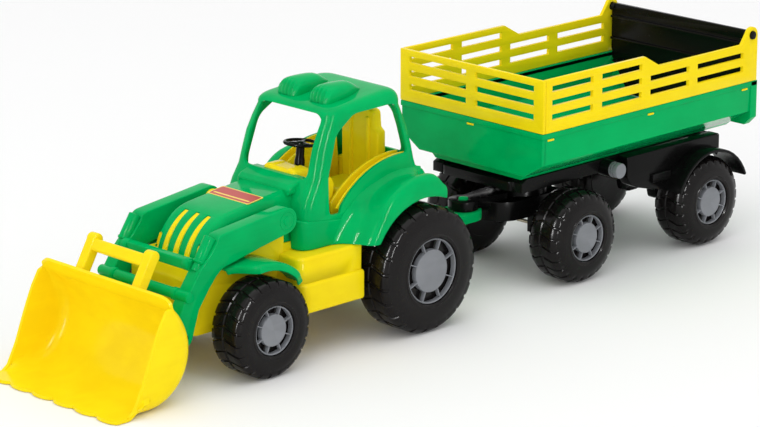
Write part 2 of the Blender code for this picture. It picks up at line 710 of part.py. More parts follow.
def cab_block(depth, low):
    """Cab as a block with rounded corners, drawn in by a wall's depth and open down to a height."""
    levels = cab_levels(depth)
    _, rear, front, half = levels[0]
    corner = CAB_CORNER - depth
    plan = rounded([(rear, -half, corner), (front, -half, corner), (front, half, corner),
                    (rear, half, corner)], 3)
    work = bmesh.new()
    work.from_mesh(slab(PLAN_PLANE, low, levels[-1][0], plan))
    for level in levels[:-1]:
        bmesh.ops.bisect_plane(work, geom=work.verts[:] + work.edges[:] + work.faces[:],
                               plane_co=(0, 0, level[0]), plane_no=(0, 0, 1))
    mesh = bpy.data.meshes.new("cab_block")
    work.to_mesh(mesh)
    work.free()

    def rule(x, y, z):
        here = min(levels, key=lambda level: abs(level[0] - z))
        if z < levels[0][0]:
            here = levels[0]
        shift = here[2] - front if x > (rear + front) / 2 else here[1] - rear
        narrower = half - here[3]
        place = x + shift
        return place, y - narrower if y > 0 else y + narrower, z - roof_fall(place, z, levels)

    return tidy(reshaped(mesh, rule))


def wing_ring():
    """Full ring of the rear wing about the axle, before it is trimmed to the cab."""
    profile = [
        (WELL_RADIUS - 1 * MM, WELL_INNER_Y),
        (WELL_RADIUS - 1 * MM, WING_OUTER_Y),
        (WING_RADIUS - 2 * MM, WING_OUTER_Y),
        (WING_RADIUS, WING_OUTER_Y - 4 * MM),
        (WING_RADIUS + WING_RISE, CAB_HALF_WIDTH - 1 * MM),
        (WING_RADIUS + WING_RISE, WELL_INNER_Y),
    ]
    # Turned a little so that its facets do not line up with those of the wheel well
    start = Matrix.Rotation(radians(2.0), 4, "Z")
    return turned(profile, 48, across((0, 0, REAR_WHEEL_RADIUS)) @ start)


def well_ring(radius, inner_y, outer_y):
    start = (0, inner_y, REAR_WHEEL_RADIUS)
    end = (0, outer_y, REAR_WHEEL_RADIUS)
    return rod(radius, start, end, 40)


def sill_end():
    """Angle about the rear axle at which the door sill meets the skirt."""
    return degrees(atan2(SKIRT_TOP_Z + 4 * MM - REAR_WHEEL_RADIUS, CAB_FRONT_X - 33 * MM))


def door_outline():
    """Door opening; its lower edge follows the wing."""
    front = CAB_FRONT_X
    sill = WING_RADIUS + WING_RISE + 4 * MM
    edge = arc((0, REAR_WHEEL_RADIUS), sill, 92, sill_end(), 8)
    return edge + rounded([
        (front - 30 * MM, SKIRT_TOP_Z - 1 * MM, 3 * MM),
        (front - 20 * MM, SKIRT_TOP_Z - 1 * MM, 3 * MM),
        (front - 20 * MM, CAB_WAIST_Z + 7 * MM, 20 * MM),
        (front - 30 * MM, CAB_ROOF_Z - 24 * MM, 12 * MM),
        (front - 50 * MM, CAB_ROOF_Z - 11.5 * MM, 12 * MM),
        (3 * MM, CAB_ROOF_Z - 10.5 * MM, 6 * MM),
        (-6 * MM, CAB_WAIST_Z + 12 * MM, 2 * MM),
    ], 3)


def build_cab():
    """Green cab: pillars and roof over the skirts and the rear wings."""
    cab = part("cab", cab_block(0, CAB_BOTTOM_Z), GREEN)
    doorway = slab(SIDE_PLANE, -STEP_HALF_WIDTH, STEP_HALF_WIDTH, door_outline())
    cut(cab, doorway)
    skirt_rear = WELL_RADIUS - 6 * MM
    skirt = slab(SIDE_PLANE, -SKIRT_HALF_WIDTH, SKIRT_HALF_WIDTH, rounded([
        (skirt_rear, CAB_BOTTOM_Z, 0),
        (SKIRT_FRONT_X, CAB_BOTTOM_Z, 0),
        (SKIRT_FRONT_X, SKIRT_TOP_Z, 3 * MM),
        (skirt_rear, SKIRT_TOP_Z - 9 * MM, 0),
    ], 2))
    cowl = slab(SIDE_PLANE, -SPINE_HALF_WIDTH, SPINE_HALF_WIDTH, [
        (CAB_FRONT_X - 8 * MM, BONNET_TOP_REAR_Z + SEAT_GAP),
        (CAB_FRONT_X + 9 * MM, BONNET_TOP_REAR_Z + SEAT_GAP),
        (CAB_FRONT_X + 7 * MM, BONNET_TOP_REAR_Z + 3 * MM),
        (CAB_FRONT_X - 8 * MM, CAB_WAIST_Z + 5 * MM),
    ])
    join(cab, skirt, cowl)
    # Bay for the bonnet in front of the cab wall, between the skirts
    bay = SPINE_HALF_WIDTH + SEAT_GAP
    cut(cab, box((CAB_FRONT_X, -bay, CAB_BOTTOM_Z - 1 * MM),
                 (SKIRT_FRONT_X + 1 * MM, bay, BONNET_TOP_REAR_Z + SEAT_GAP)))
    limits = ((WING_REAR_X, -90 * MM, CAB_BOTTOM_Z + 0.1 * MM),
              (CAB_FRONT_X, 90 * MM, CAB_ROOF_Z))
    for ring in both_sides(wing_ring):
        wing = part("wing_shape", ring, GREEN)
        trim(wing, box(*limits))
        join(cab, taken(wing))
    # Hollow cabin above the wings, narrower between them, and hollow wings
    far = REAR_WHEEL_OUTER_Y + 10 * MM
    cabin = part("cabin_shape", cab_block(CAB_WALL, CAB_BOTTOM_Z - 5 * MM), GREEN)
    for sign in (1, -1):
        cut(cabin, well_ring(LEDGE_RADIUS, sign * CABIN_HALF_WIDTH, sign * far))
    cut(cab, taken(cabin))
    skin = WING_RADIUS - CAB_WALL
    for sign in (1, -1):
        cut(cab, well_ring(WELL_RADIUS, sign * WELL_INNER_Y, sign * far),
            well_ring(skin, sign * (WELL_INNER_Y + 0.6 * MM), sign * (WING_OUTER_Y - CAB_WALL)))
    cut(cab, box((CAB_BACK_X - 1 * MM, -bay, CAB_BOTTOM_Z - 5 * MM),
                 (SKIRT_FRONT_X + 1 * MM, bay, CHASSIS_TOP_Z + SEAT_GAP)))
    # Front and rear windows
    sill = CAB_WAIST_Z + 5 * MM
    screen = slab(FRONT_PLANE, CAB_FRONT_X - 45 * MM, CAB_FRONT_X + 12 * MM, rounded([
        (-35.5 * MM, sill, 4 * MM),
        (35.5 * MM, sill, 4 * MM),
        (33.5 * MM, CAB_ROOF_Z - 9.5 * MM, 5 * MM),
        (-33.5 * MM, CAB_ROOF_Z - 9.5 * MM, 5 * MM),
    ], 3))
    rear_window = slab(FRONT_PLANE, CAB_BACK_X - 10 * MM, CAB_BACK_X + 50 * MM, rounded([
        (-31.0 * MM, sill + 2 * MM, 4 * MM),
        (31.0 * MM, sill + 2 * MM, 4 * MM),
        (29.0 * MM, CAB_ROOF_Z - 14 * MM, 5 * MM),
        (-29.0 * MM, CAB_ROOF_Z - 14 * MM, 5 * MM),
    ], 3))
    cut(cab, screen, rear_window)
    for sign in (1, -1):
        join(cab, roof_lamp(sign))
    return cab


def roof_lamp(sign):
    """Rounded lamp pod half sunk in the roof."""
    work = bmesh.new()
    bmesh.ops.create_uvsphere(work, u_segments=14, v_segments=8, radius=1)
    work.transform(Matrix.Translation((0, 0, -1.5 * MM)) @ Matrix.Diagonal((*ROOF_LAMP_SIZE, 1)))
    bmesh.ops.bisect_plane(work, geom=work.verts[:] + work.edges[:] + work.faces[:],
                           plane_co=(0, 0, -1 * MM), plane_no=(0, 0, -1), clear_outer=True)
    bmesh.ops.holes_fill(work, edges=work.edges)
    x = CAB_FRONT_X - 56.5 * MM
    levels = cab_levels(0)
    fall = roof_fall(x, CAB_ROOF_Z, levels)
    slope = roof_fall(x + 1, CAB_ROOF_Z, levels) - fall
    work.transform(Matrix.Translation((x, sign * ROOF_LAMP_Y, CAB_ROOF_Z - fall))
                   @ Matrix.Rotation(atan2(slope, 1), 4, "Y"))
    mesh = bpy.data.meshes.new("roof_lamp")
    work.to_mesh(mesh)
    work.free()
    return tidy(mesh)


def build_cab_fittings():
    """Yellow tub with dash and shelf, the seat, and the black steering column and wheel."""
    lean = (CAB_HALF_WIDTH - CAB_TOP_HALF_WIDTH) / (CAB_ROOF_Z - CAB_WAIST_Z)
    half = CABIN_HALF_WIDTH - SEAT_GAP - lean * 8 * MM
    foot = CHASSIS_TOP_Z + SEAT_GAP
    rear = CAB_BACK_X + CAB_WALL + SEAT_GAP
    front = CAB_FRONT_X - CAB_WALL - SEAT_GAP
    floor = foot + CAB_WALL
    interior = part("cab_interior", box((rear, -half, foot), (front, half, floor)), YELLOW)
    dash_rear = STEERING_X - 8 * MM
    dash = slab(SIDE_PLANE, -half + 4 * MM, half - 4 * MM, [
        (dash_rear + 8 * MM, foot),
        (front, foot),
        (front, CAB_WAIST_Z - 18 * MM),
        (front - 7 * MM, CAB_WAIST_Z + 1 * MM),
        (front - 12 * MM, DASH_TOP_Z),
        (front - 22 * MM, DASH_TOP_Z),
        (dash_rear, DASH_TOP_Z - 6 * MM),
    ])
    seat_back = -8 * MM
    levels = cab_levels(CAB_WALL + SEAT_GAP)
    shelf = slab(SIDE_PLANE, -half, half, [
        (rear, foot),
        (seat_back - SEAT_GAP, foot),
        (seat_back - SEAT_GAP, levels[2][0]),
    ] + [(level[1], level[0]) for level in levels[2::-1]])
    join(interior, dash, shelf)

    # Side panels between the floor and the door sills, with a lining over each wing
    def panel():
        radius = WING_RADIUS + WING_RISE + 2 * MM
        edge = arc((0, REAR_WHEEL_RADIUS), radius, sill_end(), 94, 8)
        return slab(SIDE_PLANE, half - CAB_WALL, half,
                    edge + [(seat_back - 2 * MM, foot), (dash_rear + 9 * MM, foot)])

    def lining():
        front_end = sill_end() + 2
        low = arc((0, REAR_WHEEL_RADIUS), LEDGE_RADIUS + SEAT_GAP, front_end, 92, 8)
        high = arc((0, REAR_WHEEL_RADIUS), LEDGE_RADIUS + CAB_WALL, 92, front_end, 8)
        return slab(SIDE_PLANE, half - 1 * MM, levels[2][3] - SEAT_GAP, low + high)

    for build in (panel, lining):
        join(interior, *both_sides(build))
    base = floor + SEAT_GAP
    seat_front = 36 * MM
    cushion = SEAT_HALF_WIDTH + 2.5 * MM
    seat = part("driver_seat", box((seat_back + 0.2 * MM, -cushion, base),
                                   (seat_front, cushion, base + 20 * MM)), YELLOW)
    back = slab(FRONT_PLANE, seat_back, seat_back + 9 * MM, rounded([
        (-SEAT_HALF_WIDTH, base + 10 * MM, 0),
        (SEAT_HALF_WIDTH, base + 10 * MM, 0),
        (SEAT_HALF_WIDTH, CAB_WAIST_Z + 21 * MM, 3 * MM),
        (SEAT_HALF_WIDTH - 4.5 * MM, CAB_WAIST_Z + 24 * MM, 2 * MM),
        (SEAT_HALF_WIDTH - 5.5 * MM, SEAT_TOP_Z, 5 * MM),
        (-SEAT_HALF_WIDTH + 5.5 * MM, SEAT_TOP_Z, 5 * MM),
        (-SEAT_HALF_WIDTH + 4.5 * MM, CAB_WAIST_Z + 24 * MM, 2 * MM),
        (-SEAT_HALF_WIDTH, CAB_WAIST_Z + 21 * MM, 3 * MM),
    ], 3))
    bolsters = [box((seat_back + 8 * MM, sign * 9.5 * MM - 1.5 * MM, base + 19 * MM),
                    (seat_back + 11 * MM, sign * 9.5 * MM + 1.5 * MM, SEAT_TOP_Z - 6 * MM))
                for sign in (1, -1)]
    join(seat, back, *bolsters)
    axis = Vector((-sin(STEERING_TILT), 0, cos(STEERING_TILT)))
    centre = Vector((STEERING_X, 0, STEERING_Z))
    hub = centre - axis * 2.5 * MM
    dash_point = centre - axis * 18 * MM
    cut(interior, rod(COLUMN_RADIUS + SEAT_GAP, dash_point - axis * SEAT_GAP, centre, 12))
    column = rod(COLUMN_RADIUS, dash_point, hub - axis * SEAT_GAP, 12)
    smooth(part("steering_column", column, BLACK))
    spin = pivot("steering_line", *centre)
    tilt = Matrix.Translation(centre) @ Matrix.Rotation(-STEERING_TILT, 4, "Y")
    ring = turned(circle((STEERING_RADIUS, 0), STEERING_TUBE, 6), 20, tilt)
    wheel = part("steering_wheel", ring, BLACK, spin)
    join(wheel, rod(COLUMN_RADIUS, hub, centre + axis * 1.2 * MM, 12))
    for turn in (90, 210, 330):
        spoke = box((0, -1.4 * MM, -1 * MM), (STEERING_RADIUS, 1.4 * MM, 1 * MM))
        spoke.transform(tilt @ Matrix.Rotation(radians(turn), 4, "Z"))
        join(wheel, spoke)


def build_mudguards():
    """Green mudguards over the front wheels, each a band with a deeper outer rim."""
    inner = FRONT_WHEEL_RADIUS + MUDGUARD_GAP
    outer = inner + MUDGUARD_THICKNESS
    centre = (FRONT_AXLE_X, FRONT_WHEEL_RADIUS)

    def band(low, inside, outside):
        return slab(SIDE_PLANE, low, outside, arc(centre, outer, 68, 144, 10)
                    + arc(centre, inside, 144, 68, 10))

    for side, sign in (("left", 1), ("right", -1)):
        web = band(CHEEK_OUTER_Y + SEAT_GAP, inner + 2 * MM, MUDGUARD_OUTER_Y)
        rim = band(MUDGUARD_OUTER_Y - 3 * MM, inner, MUDGUARD_OUTER_Y)
        if sign < 0:
            web = mirrored(web)
            rim = mirrored(rim)
        guard = smooth(part(f"front_mudguard_{side}", web, GREEN))
        join(guard, rim)


def build_tow_hitch():
    """Green swan-neck plate with a round end and the peg for the drawbar."""
    rear = HITCH_X - HITCH_HALF_WIDTH
    front = CHASSIS_REAR_X - SEAT_GAP
    bend = HITCH_X + DRAWBAR_EYE_RADIUS + 8 * MM
    low = HITCH_TOP_Z - HITCH_THICKNESS
    rise = 12 * MM
    neck = slab(SIDE_PLANE, -HITCH_HALF_WIDTH, HITCH_HALF_WIDTH, [
        (rear, low),
        (bend, low),
        (bend + 34 * MM, low + rise),
        (front, low + rise),
        (front, HITCH_TOP_Z + rise),
        (bend + 34 * MM, HITCH_TOP_Z + rise),
        (bend, HITCH_TOP_Z),
        (rear, HITCH_TOP_Z),
    ])
    hitch = part("tow_hitch", neck, GREEN)
    trim(hitch, slab(PLAN_PLANE, low - 5 * MM, HITCH_TOP_Z + 2 * rise,
                     arc((HITCH_X, 0), HITCH_HALF_WIDTH - 0.01 * MM, 90, 270, 12)
                     + rectangle(HITCH_X, front + 1 * MM, -HITCH_HALF_WIDTH - 1 * MM,
                                 HITCH_HALF_WIDTH + 1 * MM)[1:3]))
    join(hitch,
         rod(HITCH_PEG_RADIUS, (HITCH_X, 0, HITCH_TOP_Z - 2 * MM),
             (HITCH_X, 0, DRAWBAR_TOP_Z + 1.5 * MM)),
         box((front - 4 * MM, -20 * MM, low + rise - 8 * MM),
             (front, 20 * MM, CAB_BOTTOM_Z - 2 * MM)))


def arm_outline():
    """Side view of a loader arm with its elbow, eye and tip, anticlockwise."""
    x = LOADER_PIVOT_X
    z = LOADER_PIVOT_Z
    tip = (BUCKET_PIVOT_X, BUCKET_PIVOT_Z)
    return (arc((x, z), ARM_EYE_RADIUS, 84, 262, 8) + [
        (x + 26 * MM, z - 15 * MM),
        (x + 56 * MM, z - 21.5 * MM),
        (x + 66 * MM, z - 24 * MM),
        (x + 78 * MM, z - 36.5 * MM),
        (x + 88 * MM, z - 50 * MM),
    ] + arc(tip, ARM_TIP_RADIUS, 195, 375, 8) + [
        (tip[0] + 5 * MM, tip[1] + 17 * MM),
        (tip[0] - 1 * MM, tip[1] + 31 * MM),
        (x + 86 * MM, z - 16 * MM),
        (x + 78 * MM, z + 2.5 * MM),
        (x + 71 * MM, z + 1.6 * MM),
    ])


def build_loader():
    """Green ladder frame of two arms and two bars, its pegs, and the bucket pins."""
    lift = pivot("loader_line", LOADER_PIVOT_X, 0, LOADER_PIVOT_Z)
    pin_hole = circle((LOADER_PIVOT_X, LOADER_PIVOT_Z), LOADER_PIN_RADIUS + TURN_GAP, 12)
    tip_hole = circle((BUCKET_PIVOT_X, BUCKET_PIVOT_Z), BUCKET_PIN_RADIUS + SEAT_GAP, 12)

    def arm():
        return slab(SIDE_PLANE, ARM_INNER_Y, ARM_OUTER_Y, arm_outline(), pin_hole, tip_hole)

    left, right = both_sides(arm)
    loader = part("loader_frame", left, GREEN, lift)
    upper = (LOADER_PIVOT_X + 85 * MM, LOADER_PIVOT_Z - 22 * MM)
    lower = (BUCKET_PIVOT_X - 4.5 * MM, BUCKET_PIVOT_Z + 30 * MM)
    half = CROSS_BAR / 2
    middle = (ARM_INNER_Y + ARM_OUTER_Y) / 2
    join(loader, right,
         box((upper[0] - half, -middle, upper[1] - half), (upper[0] + half, middle, upper[1] + half)),
         rod(half, (lower[0], -ARM_OUTER_Y - 1.5 * MM, lower[1]),
             (lower[0], ARM_OUTER_Y + 1.5 * MM, lower[1]), 12))
    for side, sign in (("left", 1), ("right", -1)):
        peg = rod(LOADER_PIN_RADIUS, (LOADER_PIVOT_X, sign * (CHEEK_INNER_Y + SEAT_GAP), LOADER_PIVOT_Z),
                  (LOADER_PIVOT_X, sign * (ARM_OUTER_Y + 0.4 * MM), LOADER_PIVOT_Z), 12)
        smooth(part(f"loader_pin_{side}", peg, GREEN))
        ends = (ARM_INNER_Y - SEAT_GAP - EAR_THICKNESS - 1 * MM, ARM_OUTER_Y + 0.8 * MM)
        bolt = rod(BUCKET_PIN_RADIUS, (BUCKET_PIVOT_X, sign * ends[0], BUCKET_PIVOT_Z),
                   (BUCKET_PIVOT_X, sign * ends[1], BUCKET_PIVOT_Z), 12)
        smooth(part(f"bucket_pin_{side}", bolt, BLACK, lift))


def build_bucket():
    """Yellow scoop: curved back and floor, end plates, scalloped lip, ears and handle."""
    tilt = pivot("bucket_line", BUCKET_PIVOT_X, 0, BUCKET_PIVOT_Z)
    centre = (BUCKET_CENTRE_X, BUCKET_CENTRE_Z)
    back_top = (BUCKET_CENTRE_X - 19 * MM, BUCKET_TOP_Z)
    outer = [back_top] + arc(centre, BUCKET_RADIUS, 125, 270, 14)
    inner = arc(centre, BUCKET_RADIUS - WALL, 270, 125, 14)
    lip_root = LIP_X - 8 * MM
    inside = BUCKET_HALF_WIDTH - WALL
    sheet = slab(SIDE_PLANE, -inside - 0.5 * MM, inside + 0.5 * MM, outer + [
        (lip_root, BUCKET_GROUND),
        (lip_root, BUCKET_GROUND + WALL),
    ] + inner + [(back_top[0] + WALL, BUCKET_TOP_Z)])
    bucket = part("bucket", sheet, YELLOW, tilt)

    def end_plate():
        proud = 0.4 * MM
        edge = [(back_top[0] - proud, BUCKET_TOP_Z + proud)]
        edge += arc(centre, BUCKET_RADIUS + proud, 125, 270, 14)
        return slab(SIDE_PLANE, inside, BUCKET_HALF_WIDTH, edge + [
            (BUCKET_CENTRE_X + 18 * MM, BUCKET_GROUND - proud),
            (BUCKET_CENTRE_X + 2 * MM, BUCKET_CENTRE_Z - 3 * MM),
            (BUCKET_CENTRE_X - 15 * MM, BUCKET_TOP_Z + proud),
        ])

    lobe = 2 * BUCKET_HALF_WIDTH / LIP_LOBES
    edge = []
    for index in range(LIP_LOBES):
        for step in range(6):
            share = step / 5
            bulge = LIP_LOBE_DEPTH * sqrt(max(0, 1 - (2 * share - 1) ** 2))
            edge.append((LIP_X + bulge, -BUCKET_HALF_WIDTH + lobe * (index + share)))
    edge = [point for index, point in enumerate(edge) if index % 6 or index == 0]
    lip = slab(PLAN_PLANE, BUCKET_GROUND + 0.2 * MM, BUCKET_GROUND + WALL - 0.2 * MM, edge + [
        (lip_root - 4 * MM, BUCKET_HALF_WIDTH), (lip_root - 4 * MM, -BUCKET_HALF_WIDTH)])
    join(bucket, *both_sides(end_plate), lip)
    limit = BUCKET_HALF_WIDTH + 0.3 * MM
    trim(bucket, slab(FRONT_PLANE, BUCKET_PIVOT_X, TRAIN_FRONT_X + 5 * MM, rounded([
        (-limit, BUCKET_GROUND - 2 * MM, 0),
        (limit, BUCKET_GROUND - 2 * MM, 0),
        (limit, BUCKET_TOP_Z + 1 * MM, 12 * MM),
        (-limit, BUCKET_TOP_Z + 1 * MM, 12 * MM),
    ], 4)))
    hole = circle((BUCKET_PIVOT_X, BUCKET_PIVOT_Z), BUCKET_PIN_RADIUS + TURN_GAP, 12)
    ear_y = ARM_INNER_Y - SEAT_GAP

    def ear():
        root = BUCKET_CENTRE_X - BUCKET_RADIUS
        return slab(SIDE_PLANE, ear_y - EAR_THICKNESS, ear_y, arc(
            (BUCKET_PIVOT_X, BUCKET_PIVOT_Z), 7 * MM, 100, 260, 6) + [
            (root + 3.2 * MM, BUCKET_CENTRE_Z - 15 * MM),
            (root + 1.4 * MM, BUCKET_CENTRE_Z - 6 * MM),
            (root + 1.4 * MM, BUCKET_CENTRE_Z + 6 * MM),
            (root + 3.2 * MM, BUCKET_CENTRE_Z + 15 * MM),
        ], hole)

    join(bucket, *both_sides(ear))
    foot = (back_top[0] - 6.15 * MM, BUCKET_TOP_Z - 2.3 * MM)

    def lean(along, across):
        """Point of the handle's side view, up its leaning legs and forward across them."""
        return (foot[0] - along * sin(HANDLE_LEAN) + across * cos(HANDLE_LEAN),
                foot[1] + along * cos(HANDLE_LEAN) + across * sin(HANDLE_LEAN))

    deep = HANDLE_THICKNESS / 2

    def leg():
        top = HANDLE_HEIGHT
        return slab(SIDE_PLANE, HANDLE_OPENING, HANDLE_HALF_WIDTH, [
            lean(-8 * MM, -deep),
            lean(-4.2 * MM, deep),
            lean(top - 2 * MM, deep),
            lean(top, deep - 2 * MM),
            lean(top, 2 * MM - deep),
            lean(top - 2 * MM, -deep),
        ])

    slim = deep - 0.4 * MM
    reach = HANDLE_OPENING + 1 * MM
    bar = slab(SIDE_PLANE, -reach, reach, [
        lean(HANDLE_GAP, -slim),
        lean(HANDLE_GAP, slim),
        lean(HANDLE_GAP + HANDLE_BAR, slim),
        lean(HANDLE_GAP + HANDLE_BAR, -slim),
    ])
    join(bucket, *both_sides(leg), bar)


def build_dolly():
    """Black turntable bogie with its drawbar, axle brackets and kingpin."""
    steer = pivot("hitch_line", HITCH_X, 0, DRAWBAR_BOTTOM_Z)
    nose = KINGPIN_X + DOLLY_NOSE
    deck = DRAWBAR_BOTTOM_Z + 3 * MM
    block = slab(PLAN_PLANE, DOLLY_BOTTOM_Z, deck, arc(
        (nose - DOLLY_HALF_WIDTH, 0), DOLLY_HALF_WIDTH, -90, 90, 12) + [
        (KINGPIN_X - DOLLY_TAIL, DOLLY_HALF_WIDTH), (KINGPIN_X - DOLLY_TAIL, -DOLLY_HALF_WIDTH)])
    dolly = part("dolly", block, BLACK, steer)
    table_top = FRAME_BOTTOM_Z - TURN_GAP
    drawbar = slab(PLAN_PLANE, DRAWBAR_BOTTOM_Z, DRAWBAR_TOP_Z, arc(
        (HITCH_X, 0), DRAWBAR_EYE_RADIUS, -135, 135, 14) + [
        (nose - 20 * MM, DRAWBAR_EYE_RADIUS), (nose - 20 * MM, -DRAWBAR_EYE_RADIUS)])
    join(dolly, drawbar, rod(TURNTABLE_RADIUS, (KINGPIN_X, 0, deck - 1 * MM),
                             (KINGPIN_X, 0, table_top), 24))
    for sign in (1, -1):
        edges = sorted((sign * 16 * MM, sign * (DOLLY_HALF_WIDTH - 1 * MM)))
        join(dolly, box((KINGPIN_X - 8 * MM, edges[0], TRAILER_WHEEL_RADIUS - 5 * MM),
                        (KINGPIN_X + 8 * MM, edges[1], DOLLY_BOTTOM_Z + 1 * MM)))
    # Hollow below, with a cross rib under the kingpin
    inside = DOLLY_HALF_WIDTH - WALL
    rib = KINGPIN_RADIUS + 5 * MM
    for rear, front in ((KINGPIN_X - DOLLY_TAIL + WALL, KINGPIN_X - rib),
                        (KINGPIN_X + rib, nose - DOLLY_HALF_WIDTH / 2)):
        cut(dolly, box((rear, -inside + 4 * MM, DOLLY_BOTTOM_Z - 1 * MM),
                       (front, inside - 4 * MM, DRAWBAR_BOTTOM_Z - 1 * MM)))
    socket = deck - 2 * MM
    cut(dolly, rod(HITCH_PEG_RADIUS + TURN_GAP, (HITCH_X, 0, DRAWBAR_BOTTOM_Z - 5 * MM),
                   (HITCH_X, 0, DRAWBAR_TOP_Z + 5 * MM)),
        rod(KINGPIN_RADIUS + SEAT_GAP, (KINGPIN_X, 0, socket), (KINGPIN_X, 0, table_top + 5 * MM)),
        axle_bore(KINGPIN_X, TRAILER_WHEEL_RADIUS))
    head = FRAME_DECK_Z + TURN_GAP
    kingpin = part("kingpin", rod(KINGPIN_RADIUS, (KINGPIN_X, 0, socket + SEAT_GAP),
                                  (KINGPIN_X, 0, head + 1 * MM)), BLACK, steer)
    join(kingpin, rod(KINGPIN_HEAD_RADIUS, (KINGPIN_X, 0, head),
                      (KINGPIN_X, 0, TRAY_BOTTOM_Z - 2 * SEAT_GAP)))


def build_trailer_frame():
    """Black ladder frame with deck, side rails, axle brackets and side bosses."""
    swing = pivot("kingpin_line", KINGPIN_X, 0, FRAME_BOTTOM_Z)
    front = KINGPIN_X + FRAME_FRONT_OVERHANG
    inner = FRAME_HALF_WIDTH - FRAME_RAIL_WIDTH
    deck = slab(PLAN_PLANE, FRAME_BOTTOM_Z, FRAME_DECK_Z, rounded([
        (TRAILER_AXLE_X - 12 * MM, -inner - 1 * MM, 0),
        (front, -inner - 1 * MM, 6 * MM),
        (front, inner + 1 * MM, 6 * MM),
        (TRAILER_AXLE_X - 12 * MM, inner + 1 * MM, 0),
    ]), circle((KINGPIN_X, 0), KINGPIN_RADIUS + TURN_GAP, 16),
        rectangle(TRAILER_AXLE_X + 22 * MM, BOSS_X - 12 * MM, -inner + 8 * MM, inner - 8 * MM))
    frame = part("trailer_frame", deck, BLACK, swing)
    eye = FRAME_TOP_Z - TIP_PIN_Z - SEAT_GAP

    def rail():
        outline = arc((TIP_PIN_X, TIP_PIN_Z), eye, 90, 270, 8) + [
            (TRAILER_AXLE_X - 6 * MM, FRAME_BOTTOM_Z - 4 * MM),
            (BOSS_X - 30 * MM, FRAME_BOTTOM_Z - 3 * MM),
            (BOSS_X - 16 * MM, FRAME_BOTTOM_Z),
            (front - 2 * MM, FRAME_BOTTOM_Z),
            (front - 2 * MM, FRAME_TOP_Z - 3 * MM),
            (front - 8 * MM, FRAME_TOP_Z),
        ]
        hole = circle((TIP_PIN_X, TIP_PIN_Z), TIP_PIN_RADIUS + SEAT_GAP, 12)
        return slab(SIDE_PLANE, inner, FRAME_HALF_WIDTH, outline, hole)

    join(frame, *both_sides(rail))
    for sign in (1, -1):
        edges = sorted((sign * 12 * MM, sign * 22 * MM))
        bracket = slab(SIDE_PLANE, edges[0], edges[1], rounded([
            (TRAILER_AXLE_X - 8 * MM, TRAILER_WHEEL_RADIUS - 7 * MM, 4 * MM),
            (TRAILER_AXLE_X + 8 * MM, TRAILER_WHEEL_RADIUS - 7 * MM, 4 * MM),
            (TRAILER_AXLE_X + 20 * MM, FRAME_BOTTOM_Z + 1 * MM, 0),
            (TRAILER_AXLE_X - 11 * MM, FRAME_BOTTOM_Z + 1 * MM, 0),
        ], 3))
        boss = rod(BOSS_RADIUS, (BOSS_X, sign * (FRAME_HALF_WIDTH - 1 * MM), BOSS_Z),
                   (BOSS_X, sign * BOSS_OUTER_Y, BOSS_Z), 20)
        join(frame, bracket, boss)
    cut(frame, axle_bore(TRAILER_AXLE_X, TRAILER_WHEEL_RADIUS))
    for side, sign in (("left", 1), ("right", -1)):
        foot = BOSS_OUTER_Y + SEAT_GAP
        groove = SIDE_CAP_RADIUS - 1.2 * MM
        ring = [(0.6 * MM, 0), (SIDE_CAP_RADIUS, 0), (SIDE_CAP_RADIUS, 2.4 * MM), (groove, 2.4 * MM),
                (groove, 4 * MM), (SIDE_CAP_RADIUS, 4 * MM), (SIDE_CAP_RADIUS, SIDE_CAP_LENGTH - 1 * MM),
                (SIDE_CAP_RADIUS - 1 * MM, SIDE_CAP_LENGTH), (0.6 * MM, SIDE_CAP_LENGTH)]
        cap = turned(ring, 18, across((BOSS_X, foot, BOSS_Z)))
        guard_inner = TRAILER_WHEEL_RADIUS + TRAILER_GUARD_GAP
        guard_outer = guard_inner + TRAILER_GUARD_THICKNESS
        centre = (TRAILER_AXLE_X, TRAILER_WHEEL_RADIUS)
        guard = slab(SIDE_PLANE, FRAME_HALF_WIDTH + SEAT_GAP, TRAILER_GUARD_OUTER_Y,
                     arc(centre, guard_outer, 20, 158, 16) + arc(centre, guard_inner, 158, 20, 16))
        if sign < 0:
            cap = mirrored(cap)
            guard = mirrored(guard)
        smooth(part(f"side_cap_{side}", cap, GREY, swing))
        smooth(part(f"trailer_mudguard_{side}", guard, BLACK, swing))
    reach = FRAME_HALF_WIDTH - 1 * MM
    smooth(part("tip_pin", rod(TIP_PIN_RADIUS, (TIP_PIN_X, -reach, TIP_PIN_Z),
                               (TIP_PIN_X, reach, TIP_PIN_Z), 12), STEEL, swing))


def tray_section(top, rim, wall_foot, keel, bottom):
    """Cross-section of the tray or of its hollow: rim, leaning walls and a narrower keel."""
    right = [(keel, bottom), (wall_foot, TRAY_FLOOR_Z), (rim, TRAY_RIM_Z - TRAY_RIM_HEIGHT),
             (rim, top)]
    return right + [(-y, z) for y, z in reversed(right)]


